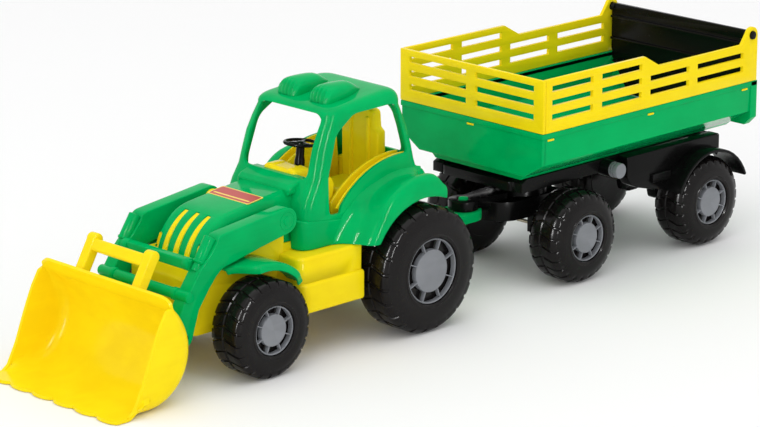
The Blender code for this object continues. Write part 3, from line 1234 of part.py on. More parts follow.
def build_tray():
    """Green load tray with a rim, a rear frame and hinge ears, and the yellow rails on it."""
    tip = pivot("tip_line", TIP_PIN_X, 0, TIP_PIN_Z)
    rim_inner = TRAY_HALF_WIDTH - 1.5 * MM
    wall_foot = TRAY_KEEL_HALF_WIDTH + 4 * MM
    body = slab(FRONT_PLANE, TRAY_REAR_X, TRAY_FRONT_X, tray_section(
        TRAY_RIM_Z, rim_inner, wall_foot, TRAY_KEEL_HALF_WIDTH - 8 * MM, TRAY_BOTTOM_Z))
    tray = part("tray", body, GREEN, tip)
    rim_low = TRAY_RIM_Z - TRAY_RIM_HEIGHT
    chamfer = 7 * MM
    join(tray,
         box((TRAY_REAR_X, -TRAY_HALF_WIDTH, rim_low), (TRAY_FRONT_X, TRAY_HALF_WIDTH, TRAY_RIM_Z)),
         slab(FRONT_PLANE, TRAY_REAR_X, TRAY_REAR_X + TRAY_FRAME_LENGTH, [
             (-TRAY_HALF_WIDTH, TRAY_RIM_Z),
             (-TRAY_HALF_WIDTH, TRAY_FLOOR_Z + chamfer),
             (-TRAY_HALF_WIDTH + chamfer, TRAY_FLOOR_Z),
             (TRAY_HALF_WIDTH - chamfer, TRAY_FLOOR_Z),
             (TRAY_HALF_WIDTH, TRAY_FLOOR_Z + chamfer),
             (TRAY_HALF_WIDTH, TRAY_RIM_Z),
         ]))
    load_floor = TRAY_FLOOR_Z + WALL
    hollow = slab(FRONT_PLANE, TRAY_REAR_X - 5 * MM, TRAY_FRONT_X - WALL, [
        (TRAY_KEEL_HALF_WIDTH, load_floor),
        (rim_inner - WALL, rim_low),
        (rim_inner - WALL, TRAY_RIM_Z + 5 * MM),
        (-rim_inner + WALL, TRAY_RIM_Z + 5 * MM),
        (-rim_inner + WALL, rim_low),
        (-TRAY_KEEL_HALF_WIDTH, load_floor),
    ])
    cut(tray, hollow)
    # Low step below the tailgate, in front of which the load floor ends
    step_front = TAILGATE_PIN_X + TAILGATE_THICKNESS / 2 + TAILGATE_RIB + 1 * MM
    step_half = TRAY_KEEL_HALF_WIDTH + 1.2 * MM
    cut(tray, box((TRAY_REAR_X - 5 * MM, -step_half, load_floor - 0.8 * MM),
                  (step_front, step_half, load_floor + 1 * MM)))
    rail_inner = FRAME_HALF_WIDTH - FRAME_RAIL_WIDTH
    hole = circle((TIP_PIN_X, TIP_PIN_Z), TIP_PIN_RADIUS + TURN_GAP, 12)

    def ear():
        outline = arc((TIP_PIN_X, TIP_PIN_Z), 5.5 * MM, 180, 360, 8) + [
            (TIP_PIN_X + 5.5 * MM, TRAY_BOTTOM_Z + 1 * MM), (TIP_PIN_X - 5.5 * MM, TRAY_BOTTOM_Z + 1 * MM)]
        return slab(SIDE_PLANE, rail_inner - SEAT_GAP - 5 * MM, rail_inner - SEAT_GAP, outline, hole)

    join(tray, *both_sides(ear))
    build_rails(tip)
    build_tailgate(load_floor, rim_inner - WALL)


def slots(left, right, rows):
    """Rows of long slots between two posts."""
    half = SLOT_HEIGHT / 2
    middles = [SLOT_FIRST_Z + SLOT_PITCH * row for row in range(rows)]
    return [rectangle(left, right, middle - half, middle + half) for middle in middles]


def build_rails(tip):
    """Two side rails, lower towards the rear, and a front rail."""
    front = TRAY_FRONT_X - RAIL_THICKNESS - SEAT_GAP
    bay = (TRAY_LENGTH - RAIL_REAR_POST - RAIL_POST) / 4
    posts = [TRAY_FRONT_X - RAIL_POST - bay * index for index in range(5)]
    drop = posts[2] + 1 * MM
    ear = (TAILGATE_PIN_X, TAILGATE_PIN_Z)
    outline = [(front, RAIL_BOTTOM_Z), (front, RAIL_TOP_Z),
               (drop + RAIL_DROP_POST, RAIL_TOP_Z), (drop - 2 * RAIL_DROP_POST, RAIL_LOW_TOP_Z),
               (ear[0] + 13 * MM, RAIL_LOW_TOP_Z)]
    outline += arc(ear, TAILGATE_EAR_RADIUS, 20, 180, 8)
    outline += [(TRAY_REAR_X + 1.3 * MM, RAIL_BOTTOM_Z)]
    holes = [circle(ear, TAILGATE_PIN_RADIUS + TURN_GAP, 12)]
    for index in range(4):
        holes += slots(posts[index + 1] + (RAIL_POST if index < 3 else 0), posts[index],
                       3 if index < 2 else 2)

    def side():
        return slab(SIDE_PLANE, RAIL_INNER_Y, TRAY_HALF_WIDTH, outline, *holes)

    for name, mesh in zip(("rail_left", "rail_right"), both_sides(side)):
        part(name, mesh, YELLOW, tip)
    half = TRAY_HALF_WIDTH
    panel = rectangle(-half, half, RAIL_BOTTOM_Z, RAIL_TOP_Z)
    openings = []
    for near, far in ((RAIL_POST / 2, half - RAIL_POST), (RAIL_POST - half, -RAIL_POST / 2)):
        openings += slots(near, far, 3)
    mesh = slab(FRONT_PLANE, TRAY_FRONT_X - RAIL_THICKNESS, TRAY_FRONT_X, panel, *openings)
    part("rail_front", mesh, YELLOW, tip)


def build_tailgate(load_floor, mouth_half_width):
    """Black flap hung on two pins of its own, with cross ribs on its inner face."""
    swing = pivot("tailgate_line", TAILGATE_PIN_X, 0, TAILGATE_PIN_Z)
    gap = TAILGATE_CORNER_GAP
    upper = RAIL_INNER_Y - gap
    top = TAILGATE_PIN_Z + TAILGATE_PIN_RADIUS
    shoulder = TRAY_RIM_Z + SEAT_GAP
    foot = TRAY_KEEL_HALF_WIDTH - gap
    neck = mouth_half_width - gap
    right = [(foot, load_floor + gap), (neck, TRAY_RIM_Z - TRAY_RIM_HEIGHT), (neck, shoulder + gap),
             (upper, shoulder + gap + 2 * MM), (upper, top)]
    low = TAILGATE_PIN_X - TAILGATE_THICKNESS / 2
    high = TAILGATE_PIN_X + TAILGATE_THICKNESS / 2
    plate = slab(FRONT_PLANE, low, high, right + [(-y, z) for y, z in reversed(right)])
    tailgate = part("tailgate", plate, BLACK, swing)
    for height, half in ((load_floor + 10 * MM, foot), (TRAY_RIM_Z - 8 * MM, neck - 4 * MM),
                         (TRAY_RIM_Z + 12 * MM, upper - 2 * MM), (top - 12 * MM, upper - 2 * MM)):
        join(tailgate, box((high - 1 * MM, -half, height), (high + TAILGATE_RIB, half, height + 2 * MM)))
    reach = TRAY_HALF_WIDTH + 1.5 * MM
    for sign in (1, -1):
        join(tailgate, rod(TAILGATE_PIN_RADIUS,
                           (TAILGATE_PIN_X, sign * (upper - 3 * MM), TAILGATE_PIN_Z),
                           (TAILGATE_PIN_X, sign * reach, TAILGATE_PIN_Z), 12))


build_chassis()
build_bonnet()
build_grille()
build_cab()
build_cab_fittings()
build_mudguards()
build_tow_hitch()
build_loader()
build_bucket()
build_dolly()
build_trailer_frame()
build_tray()
wheel_set("rear", 0, REAR_WHEEL_RADIUS, REAR_WHEEL_OUTER_Y, REAR_WHEEL_HALF_WIDTH,
          REAR_TREAD_HALF_WIDTH, REAR_CAP_RADIUS)
wheel_set("front", FRONT_AXLE_X, FRONT_WHEEL_RADIUS, FRONT_WHEEL_OUTER_Y, FRONT_WHEEL_HALF_WIDTH,
          FRONT_TREAD_HALF_WIDTH, FRONT_CAP_RADIUS)
for label, axle_x in (("dolly", KINGPIN_X), ("trailer", TRAILER_AXLE_X)):
    wheel_set(label, axle_x, TRAILER_WHEEL_RADIUS, TRAILER_WHEEL_OUTER_Y, TRAILER_WHEEL_HALF_WIDTH,
              TRAILER_TREAD_HALF_WIDTH, TRAILER_CAP_RADIUS)
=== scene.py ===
"""Looks of a plastic toy tractor with a front loader and a tipping trailer."""

import json
from math import acos, asin, cos, degrees, hypot, pi, radians, sin, sqrt, tan

import bmesh
import bpy
from bpy.props import FloatProperty, FloatVectorProperty, IntProperty, PointerProperty
from mathutils import Matrix, Vector


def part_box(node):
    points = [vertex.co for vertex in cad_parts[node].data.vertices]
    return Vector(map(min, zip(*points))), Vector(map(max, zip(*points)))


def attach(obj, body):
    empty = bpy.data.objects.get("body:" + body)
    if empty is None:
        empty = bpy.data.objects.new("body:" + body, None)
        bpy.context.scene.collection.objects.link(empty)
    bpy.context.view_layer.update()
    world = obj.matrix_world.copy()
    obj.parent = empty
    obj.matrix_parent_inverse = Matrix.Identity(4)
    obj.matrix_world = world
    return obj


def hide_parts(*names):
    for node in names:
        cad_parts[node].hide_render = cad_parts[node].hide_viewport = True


bl_info = {
    "name": "Toy tractor with trailer",
    "version": (1, 0, 0),
    "blender": (4, 5, 0),
    "location": "3D View > Sidebar > Toy tractor",
    "description": "Dresses the plastic tractor, its loader and its tipping trailer",
    "category": "Add Mesh",
}

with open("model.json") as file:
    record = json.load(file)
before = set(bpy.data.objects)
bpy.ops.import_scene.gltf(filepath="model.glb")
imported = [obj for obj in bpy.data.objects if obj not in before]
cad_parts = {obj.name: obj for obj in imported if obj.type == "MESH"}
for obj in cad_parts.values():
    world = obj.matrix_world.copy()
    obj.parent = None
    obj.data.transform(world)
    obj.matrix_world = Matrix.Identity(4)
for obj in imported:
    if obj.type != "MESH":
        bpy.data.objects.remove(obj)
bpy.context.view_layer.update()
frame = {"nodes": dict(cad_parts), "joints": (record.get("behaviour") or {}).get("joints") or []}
JOINTS = {joint["name"]: Vector(joint["pos_m"]) for joint in frame["joints"]}

# Shapes are drawn in millimetres: x forward from the rear axle, y to the left, z up from the ground
MM = 0.001
AXLE_X = JOINTS["rear_axle_spin"].x
TRAIN = Matrix.Translation((AXLE_X, 0, 0)) @ Matrix.Scale(MM, 4)
SIDES = {"left": 1, "right": -1}
UP = Vector((0, 0, 1))
ACROSS = Vector((0, 1, 0))
# Turn of a flat outline into its plane, and the axis of a plate's thickness
PLANES = {
    "side": (Matrix(((1, 0, 0, 0), (0, 0, -1, 0), (0, 1, 0, 0), (0, 0, 0, 1))), ACROSS),
    "front": (Matrix(((0, 0, 1, 0), (1, 0, 0, 0), (0, 1, 0, 0), (0, 0, 0, 1))), Vector((1, 0, 0))),
    "plan": (Matrix.Identity(4), UP),
}


def mm(value):
    return value / MM


def pivot(joint):
    """Place of a joint in the side view, in millimetres."""
    point = JOINTS[joint]
    return mm(point.x - AXLE_X), mm(point.z)


def train_box(node):
    """Corners of a node of the frame in millimetres from the rear axle."""
    low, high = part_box(node)
    shift = Vector((AXLE_X, 0, 0))
    return (low - shift) / MM, (high - shift) / MM


REAR_AXLE = pivot("rear_axle_spin")


class ToyColours(bpy.types.PropertyGroup):
    """Colours of the moulded plastics and of the stage."""

    green: FloatVectorProperty(name="Green plastic", description="Bonnet, cab, loader and tray",
                               subtype="COLOR", min=0, max=1, default=(0.0, 0.435, 0.115))
    yellow: FloatVectorProperty(name="Yellow plastic", description="Chassis, bucket, seat and rails",
                                subtype="COLOR", min=0, max=1, default=(1.0, 0.755, 0.008))
    black: FloatVectorProperty(name="Black plastic", description="Trailer frame, dolly and tailgate",
                               subtype="COLOR", min=0, max=1, default=(0.004, 0.004, 0.004))
    tyre: FloatVectorProperty(name="Tyre plastic", description="All tyres",
                              subtype="COLOR", min=0, max=1, default=(0.006, 0.005, 0.005))
    grey: FloatVectorProperty(name="Hub plastic", description="Hub caps and the caps of the frame",
                              subtype="COLOR", min=0, max=1, default=(0.235, 0.245, 0.265))
    steel: FloatVectorProperty(name="Steel", description="Axle rods and the tip pin",
                               subtype="COLOR", min=0, max=1, default=(0.62, 0.55, 0.40))
    label: FloatVectorProperty(name="Label field", description="Bare label on the bonnet",
                               subtype="COLOR", min=0, max=1, default=(0.50, 0.030, 0.018))
    border: FloatVectorProperty(name="Label border", description="Border of the bare label",
                                subtype="COLOR", min=0, max=1, default=(0.95, 0.66, 0.09))
    floor: FloatVectorProperty(name="Floor", description="Pale floor of the stage",
                               subtype="COLOR", min=0, max=1, default=(0.95, 0.95, 0.95))


class ToySizes(bpy.types.PropertyGroup):
    """Sizes of the mouldings that a user would change."""

    edge: FloatProperty(name="Edge rounding", description="Radius of the moulded edges",
                        unit="LENGTH", default=0.0007, min=0.0001, max=0.002)
    wall: FloatProperty(name="Wall", description="Thickness of the moulded shells",
                        unit="LENGTH", default=0.0024, min=0.001, max=0.004)
    lugs: IntProperty(name="Lugs", description="Tread blocks round each tyre",
                      default=24, min=8, max=48)
    lug_depth: FloatProperty(name="Lug depth", description="Depth of the grooves between the lugs",
                             unit="LENGTH", default=0.0013, min=0.0002, max=0.003)
    hub_fins: IntProperty(name="Hub fins", description="Fins between hub disc and ring",
                          default=8, min=3, max=16)
    bonnet_round: FloatProperty(name="Bonnet rounding", description="Radius of the bonnet's shoulders",
                                unit="LENGTH", default=0.007, min=0.002, max=0.012)
    lip_lobes: IntProperty(name="Lip lobes", description="Scallops along the bucket's lip",
                           default=6, min=1, max=12)
    bucket_round: FloatProperty(name="Bucket rounding", description="Radius inside the bucket's ends",
                                unit="LENGTH", default=0.011, min=0.002, max=0.015)


class ToyStage(bpy.types.PropertyGroup):
    """Camera and light of the stage."""

    camera: FloatVectorProperty(name="Camera", description="Place of the camera", subtype="TRANSLATION",
                                unit="LENGTH", default=(AXLE_X + 1.7368, 1.8118, 0.8040))
    target: FloatVectorProperty(name="Target", description="Point in the middle of the picture",
                                subtype="TRANSLATION", unit="LENGTH",
                                default=(AXLE_X - 0.02138, 0.0, 0.07529))
    lens: FloatProperty(name="Lens", description="Focal length on a 36 mm sensor", unit="CAMERA",
                        default=158.14, min=20, max=300)
    key: FloatProperty(name="Key light", description="Power of the large soft lamp", unit="POWER",
                       default=30.0, min=0, max=500)
    fill: FloatProperty(name="Sky", description="Strength of the even light from all round",
                        default=0.81, min=0, max=2)
    front: FloatProperty(name="Front lamp", description="Power of the weak lamp that opens the shadows",
                         unit="POWER", default=6.0, min=0, max=200)
    gloss: FloatProperty(name="Strip lamps", description="Power of the two strips seen in the gloss",
                         unit="POWER", default=55.0, min=0, max=200)


class Tint:
    """A node's output that takes part in Python expressions."""

    def __init__(self, nodes, socket):
        self.nodes = nodes
        self.socket = socket

    def math(self, operation, first, second):
        return self.nodes.add("ShaderNodeMath", {"operation": operation}, {0: first, 1: second})

    def __add__(self, other):
        return self.math("ADD", self, other)

    def __radd__(self, other):
        return self.math("ADD", other, self)

    def __sub__(self, other):
        return self.math("SUBTRACT", self, other)

    def __rsub__(self, other):
        return self.math("SUBTRACT", other, self)

    def __mul__(self, other):
        return self.math("MULTIPLY", self, other)

    def __rmul__(self, other):
        return self.math("MULTIPLY", other, self)


class Nodes:
    """A node tree whose nodes are all added in one way."""

    def __init__(self, tree):
        self.tree = tree

    def add(self, kind, settings=None, sockets=None, output=0):
        """Adds a node: its settings first, then the values or links of its sockets."""
        node = self.tree.nodes.new(kind)
        for key, value in (settings or {}).items():
            setattr(node, key, value)
        for key, value in (sockets or {}).items():
            self.feed(node.inputs[key], value)
        return Tint(self, node.outputs[output]) if node.outputs else None

    def feed(self, socket, value):
        if isinstance(value, Tint):
            self.tree.links.new(value.socket, socket)
        else:
            socket.default_value = value


class Finish(Nodes):
    """Node tree of one material."""

    def __init__(self, name):
        self.material = bpy.data.materials.new(name)
        self.material.use_nodes = True
        super().__init__(self.material.node_tree)
        self.shader = self.tree.nodes["Principled BSDF"]
        self.place = self.add("ShaderNodeTexCoord", output="Object")

    def set(self, **values):
        """Feeds the shader's own sockets; a name's underscores stand for spaces."""
        for key, value in values.items():
            self.feed(self.shader.inputs[key.replace("_", " ")], value)

    def mix(self, share, first, second):
        return self.add("ShaderNodeMix", {"data_type": "RGBA"}, {0: share, 6: first, 7: second}, 2)

    def stretched(self, *scale):
        """Place on the object with a scale of its own along each axis."""
        return self.add("ShaderNodeVectorMath", {"operation": "MULTIPLY"}, {0: self.place, 1: scale})

    def noise(self, scale, detail=3.0, roughness=0.5, place=None):
        return self.add("ShaderNodeTexNoise", None, {
            "Vector": place or self.place, "Scale": scale, "Detail": detail, "Roughness": roughness})

    def band(self, value, low, high):
        """Smooth step of a value from 0 at low to 1 at high."""
        return self.add("ShaderNodeMapRange", {"interpolation_type": "SMOOTHSTEP"}, {
            "Value": value, "From Min": low, "From Max": high, "To Min": 0.0, "To Max": 1.0})

    def edges(self, low, high):
        """Share of the finish that lies on an outer edge."""
        return self.band(self.add("ShaderNodeNewGeometry", output="Pointiness"), low, high)

    def relief(self, height, distance):
        self.set(Normal=self.add("ShaderNodeBump", None, {"Height": height, "Distance": distance}))


def rgba(colour, gain=1.0):
    return (*(min(1.0, channel * gain) for channel in colour), 1.0)


def moulded(name, colour, roughness, relief, dark, pale, shine=0.10):
    """Glossy injection-moulded plastic: faint clouds, flow lines, scuffs and edges rubbed pale."""
    finish = Finish(name)
    cloud = finish.noise(34.0, detail=4.0)
    flow = finish.noise(1.0, roughness=0.6, place=finish.stretched(18.0, 60.0, 130.0))
    scuff = finish.band(finish.noise(420.0, detail=5.0, roughness=0.7), 0.61, 0.72)
    tone = finish.band(0.65 * cloud + 0.35 * flow, 0.33, 0.67)
    base = finish.mix(tone, rgba(colour, dark), rgba(colour, 1.04))
    base = finish.mix(0.35 * finish.edges(0.52, 0.60), base, rgba(colour, pale))
    finish.set(Base_Color=base, Roughness=roughness - 0.025 + 0.05 * flow + 0.10 * scuff,
               Specular_IOR_Level=shine)
    grain = finish.noise(1900.0, detail=2.0)
    waves = finish.noise(260.0, detail=2.0)
    finish.relief(0.35 * grain + 0.65 * waves, relief)
    return finish


def tyre_plastic(name, colour):
    """Blown black plastic: satin, with a little dust and polished lugs."""
    finish = Finish(name)
    cloud = finish.noise(46.0, detail=4.0)
    dust = finish.band(finish.noise(300.0, detail=6.0, roughness=0.7), 0.58, 0.80)
    edge = finish.edges(0.52, 0.62)
    base = finish.mix(cloud, rgba(colour, 0.75), rgba(colour, 1.35))
    base = finish.mix(0.10 * dust, base, rgba((0.11, 0.10, 0.09)))
    base = finish.mix(0.30 * edge, base, rgba(colour, 2.6))
    finish.set(Base_Color=base, Roughness=0.15 + 0.08 * cloud + 0.14 * dust - 0.05 * edge,
               Specular_IOR_Level=0.16)
    grain = finish.noise(1500.0)
    waves = finish.noise(230.0, detail=2.0)
    finish.relief(0.4 * grain + 0.6 * waves, 0.02 * MM)
    return finish


def bare_steel(name, colour):
    """Drawn steel rod with fine lines along the axle."""
    finish = Finish(name)
    lines = finish.noise(1.0, detail=4.0, roughness=0.6, place=finish.stretched(2400.0, 60.0, 2400.0))
    stain = finish.band(finish.noise(90.0, detail=4.0), 0.52, 0.75)
    base = finish.mix(0.4 * stain, rgba(colour), rgba((0.36, 0.33, 0.30)))
    finish.set(Base_Color=base, Metallic=1.0, Roughness=0.26 + 0.16 * lines + 0.12 * stain)
    finish.relief(lines, 0.03 * MM)
    return finish


def printed(name, colour):
    """Smooth printed film of a label."""
    finish = Finish(name)
    tone = finish.noise(180.0, detail=5.0, roughness=0.6)
    finish.set(Base_Color=finish.mix(tone, rgba(colour, 0.88), rgba(colour, 1.08)),
               Roughness=0.24 + 0.12 * tone)
    finish.relief(finish.noise(900.0), 0.03 * MM)
    return finish


FINISHES = {}


def finish(slot):
    """Material of a slot, made the first time that it is asked for."""
    if slot not in FINISHES:
        colours = bpy.context.scene.toy_colours
        make = {
            "green_plastic": lambda: moulded(slot, colours.green, roughness=0.09, relief=0.014 * MM,
                                             dark=0.88, pale=1.06, shine=0.045),
            "yellow_plastic": lambda: moulded(slot, colours.yellow, roughness=0.16, relief=0.016 * MM,
                                              dark=0.94, pale=1.0, shine=0.07),
            "black_plastic": lambda: moulded(slot, colours.black, roughness=0.22, relief=0.02 * MM,
                                             dark=0.7, pale=3.0),
            "grey_plastic": lambda: moulded(slot, colours.grey, roughness=0.30, relief=0.02 * MM,
                                            dark=0.86, pale=1.12),
            "tyre_plastic": lambda: tyre_plastic(slot, colours.tyre),
            "steel_rod": lambda: bare_steel(slot, colours.steel),
            "label_field": lambda: printed(slot, colours.label),
            "label_border": lambda: printed(slot, colours.border),
        }
        FINISHES[slot] = make[slot]().material
    return FINISHES[slot]


# Edges whose faces meet at more than this stay creased
CREASE = radians(36.0)
# Corners of a node's mesh that are one corner, and the angle below which its faces are one face
SEAM = 0.002 * MM
FLAT = radians(0.6)


def smoothing():
    """Node group that shades a mesh smooth, with creases where faces meet at a clear angle."""
    name = "moulded_shading"
    if name in bpy.data.node_groups:
        return bpy.data.node_groups[name]
    group = bpy.data.node_groups.new(name, "GeometryNodeTree")
    for way in ("INPUT", "OUTPUT"):
        group.interface.new_socket("Geometry", in_out=way, socket_type="NodeSocketGeometry")
    nodes = Nodes(group)
    angle = nodes.add("GeometryNodeInputMeshEdgeAngle", output="Unsigned Angle")
    soft = nodes.add("FunctionNodeCompare", {"data_type": "FLOAT", "operation": "LESS_THAN"},
                     {0: angle, 1: CREASE})
    faces = nodes.add("GeometryNodeSetShadeSmooth", None, {"Geometry": nodes.add("NodeGroupInput")})
    edges = nodes.add("GeometryNodeSetShadeSmooth", {"domain": "EDGE"},
                      {"Geometry": faces, "Shade Smooth": soft})
    nodes.add("NodeGroupOutput", None, {0: edges})
    return group


def soften(body, edge, limit):
    """Rounds the edges of an object that are sharper than a limit and shades it as a moulding."""
    if edge:
        bevel = body.modifiers.new("edges", "BEVEL")
        bevel.width = edge
        bevel.segments = 2
        bevel.limit_method = "ANGLE"
        bevel.angle_limit = radians(limit)
    body.modifiers.new("shading", "NODES").node_group = smoothing()


def keep(names, slot, edge=None):
    """Keeps nodes of the frame and gives them rounded edges and a finish."""
    if edge is None:
        edge = bpy.context.scene.toy_sizes.edge
    for name in names:
        node = frame["nodes"][name]
        node.data.materials.clear()
        node.data.materials.append(finish(slot))
        node.modifiers.new("weld", "WELD").merge_threshold = SEAM
        flat = node.modifiers.new("flat", "DECIMATE")
        flat.decimate_type = "DISSOLVE"
        flat.angle_limit = FLAT
        soften(node, edge, limit=38.0)


def placed(name, data):
    """New object of the scene."""
    body = bpy.data.objects.new(name, data)
    bpy.context.scene.collection.objects.link(body)
    return body


def discard(body):
    """Removes an object and its mesh or curve."""
    data = body.data
    bpy.data.objects.remove(body)
    store = bpy.data.meshes if isinstance(data, bpy.types.Mesh) else bpy.data.curves
    store.remove(data)


def evaluated(holder):
    """Mesh of an object with its modifiers; the object is removed."""
    bpy.context.view_layer.update()
    mesh = bpy.data.meshes.new_from_object(
        holder.evaluated_get(bpy.context.evaluated_depsgraph_get()))
    discard(holder)
    return mesh


def aim(body, place, target):
    """Puts a camera or a lamp in its place and points it at a target."""
    body.location = place
    look = Vector(target) - Vector(place)
    body.rotation_euler = look.to_track_quat("-Z", "Y").to_euler()


def arc(centre, radius, start, end, steps):
    """Points of an arc in degrees, ends included."""
    turns = [radians(start + (end - start) * step / steps) for step in range(steps + 1)]
    return [(centre[0] + radius * cos(turn), centre[1] + radius * sin(turn)) for turn in turns]


def round_hole(centre, radius):
    """Outline of a bore."""
    return arc(centre, radius, 360, 0, 20)[:-1]


def oblong(low, high, foot=0.0, head=0.0):
    """Corners of an oblong as (u, v, radius), with a radius at the foot and one at the head."""
    return [(low[0], low[1], foot), (high[0], low[1], foot),
            (high[0], high[1], head), (low[0], high[1], head)]


def rounded(corners, steps=5):
    """Outline from corners given as (u, v, radius)."""
    points = []
    for index, (u, v, radius) in enumerate(corners):
        here = Vector((u, v))
        if not radius:
            points.append((u, v))
            continue
        back = (Vector(corners[index - 1][:2]) - here).normalized()
        onward = (Vector(corners[(index + 1) % len(corners)][:2]) - here).normalized()
        half = acos(max(-1, min(1, back.dot(onward)))) / 2
        reach = radius / max(0.05, tan(half))
        start = here + back * reach
        end = here + onward * reach
        for step in range(steps + 1):
            share = step / steps
            points.append(tuple(start.lerp(here, share).lerp(here.lerp(end, share), share)))
    return points


def smoothstep(value):
    value = max(0.0, min(1.0, value))
    return value * value * (3 - 2 * value)


def span(sign, near, far):
    """Low and high y of what lies between two distances from the middle, on one side."""
    return sorted((sign * near, sign * far))


def lean_to(axis):
    """Turn that lays the upright axis along another one."""
    return UP.rotation_difference(Vector(axis)).to_matrix().to_4x4()


class Shape:
    """Mesh of one piece, drawn in millimetres from the rear axle."""

    # Corners nearer to each other than this are one corner
    WELD = 0.004

    def __init__(self):
        self.mesh = bmesh.new()

    def everything(self):
        return self.mesh.verts[:] + self.mesh.edges[:] + self.mesh.faces[:]

    def weld(self):
        bmesh.ops.remove_doubles(self.mesh, verts=self.mesh.verts, dist=self.WELD)

    def take(self, mesh, place=None):
        """Adds a mesh and removes its data."""
        if place:
            mesh.transform(place)
        self.mesh.from_mesh(mesh)
        bpy.data.meshes.remove(mesh)
        return self

    def join(self, other):
        """Adds another shape, which is used up."""
        return self.take(other.data("part"))

    def sheet(self, rows, loop=False, caps=False):
        """Adds a grid of points; rows may close on themselves, and the end rows may be filled."""
        grid = [[self.mesh.verts.new(point) for point in row] for row in rows]
        for low, high in zip(grid, grid[1:]):
            count = len(low)
            for index in range(count if loop else count - 1):
                after = (index + 1) % count
                self.mesh.faces.new((low[index], low[after], high[after], high[index]))
        if caps:
            self.mesh.faces.new(grid[0])
            self.mesh.faces.new(grid[-1])
        return self

    def plate(self, plane, low, high, outline, *holes, edge=0.9, steps=2, place=None):
        """Adds a flat plate with rounded edges, drawn in one plane."""
        curve = bpy.data.curves.new("outline", "CURVE")
        curve.dimensions = "2D"
        curve.fill_mode = "BOTH"
        curve.extrude = (high - low) / 2 - edge
        curve.bevel_depth = edge
        curve.bevel_resolution = steps
        curve.offset = -edge
        for loop in (outline, *holes):
            line = curve.splines.new("POLY")
            line.points.add(len(loop) - 1)
            for point, (u, v) in zip(line.points, loop):
                point.co = (u, v, 0, 1)
            line.use_cyclic_u = True
        turn, axis = PLANES[plane]
        matrix = Matrix.Translation(axis * (low + high) / 2) @ turn
        return self.take(evaluated(placed("outline", curve)), place @ matrix if place else matrix)

    def cutter(self, plane, low, high, outline):
        """Adds a plate with sharp edges, to cut an opening with."""
        return self.plate(plane, low, high, outline, edge=0.01, steps=0)

    def block(self, low, high, edge=0.9):
        """Adds a box with rounded edges."""
        return self.plate("plan", low[2], high[2], rounded(oblong(low, high)), edge=edge)

    def turned(self, profile, centre, axis, steps=48):
        """Adds a closed or open profile of (radius, height) turned about an axis."""
        place = Matrix.Translation(centre) @ lean_to(axis)
        turns = [2 * pi * step / steps for step in range(steps)]
        return self.sheet([[place @ Vector((radius * cos(turn), radius * sin(turn), height))
                            for turn in turns] for radius, height in profile], loop=True)

    def rod(self, start, end, radius, edge=0.5, steps=28):
        """Adds a round rod with rounded rims."""
        axis = Vector(end) - Vector(start)
        length = axis.length
        middle = 0.01
        ease = 0.3 * edge
        profile = [(middle, 0), (radius - edge, 0), (radius - ease, ease), (radius, edge),
                   (radius, length - edge), (radius - ease, length - ease),
                   (radius - edge, length), (middle, length)]
        return self.turned(profile, start, axis, steps)

    def bend(self, rule):
        for corner in self.mesh.verts:
            corner.co = rule(corner.co)

    def trim(self, point, normal):
        """Cuts off what lies beyond a plane and closes the cut."""
        cut = bmesh.ops.bisect_plane(self.mesh, geom=self.everything(), plane_co=point,
                                     plane_no=normal, clear_outer=True)["geom_cut"]
        rim = [part for part in cut if isinstance(part, bmesh.types.BMEdge)]
        bmesh.ops.edgeloop_fill(self.mesh, edges=rim)

    def mirrored(self):
        """Adds a copy on the other side of the train."""
        copy = bmesh.ops.duplicate(self.mesh, geom=self.everything())["geom"]
        corners = [part for part in copy if isinstance(part, bmesh.types.BMVert)]
        faces = [part for part in copy if isinstance(part, bmesh.types.BMFace)]
        bmesh.ops.scale(self.mesh, vec=(1, -1, 1), verts=corners)
        bmesh.ops.reverse_faces(self.mesh, faces=faces)
        return self

    def data(self, name, matrix=None):
        """Mesh data of the shape, welded and with its faces turned outwards."""
        self.weld()
        bmesh.ops.recalc_face_normals(self.mesh, faces=self.mesh.faces)
        mesh = bpy.data.meshes.new(name)
        self.mesh.to_mesh(mesh)
        self.mesh.free()
        if matrix:
            mesh.transform(matrix)
        return mesh

    def piece(self, name, body, slot, *replaced, edge=0.0, limit=50.0):
        """Makes the shape a piece that rides on a body of the frame and stands for its nodes."""
        piece = placed(name, self.data(name, TRAIN))
        piece.data.materials.append(finish(slot))
        soften(piece, edge, limit)
        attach(piece, body)
        if replaced:
            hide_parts(*replaced)
        return piece

    def carved(self, operation, *tools):
        """Joins or cuts the shape with other shapes."""
        holder = placed("work", self.data("work"))
        helpers = [placed("tool", tool.data("tool")) for tool in tools]
        for helper in helpers:
            modifier = holder.modifiers.new("carve", "BOOLEAN")
            modifier.operation = operation
            modifier.solver = "EXACT"
            modifier.object = helper
        result = Shape().take(evaluated(holder))
        for helper in helpers:
            discard(helper)
        return result


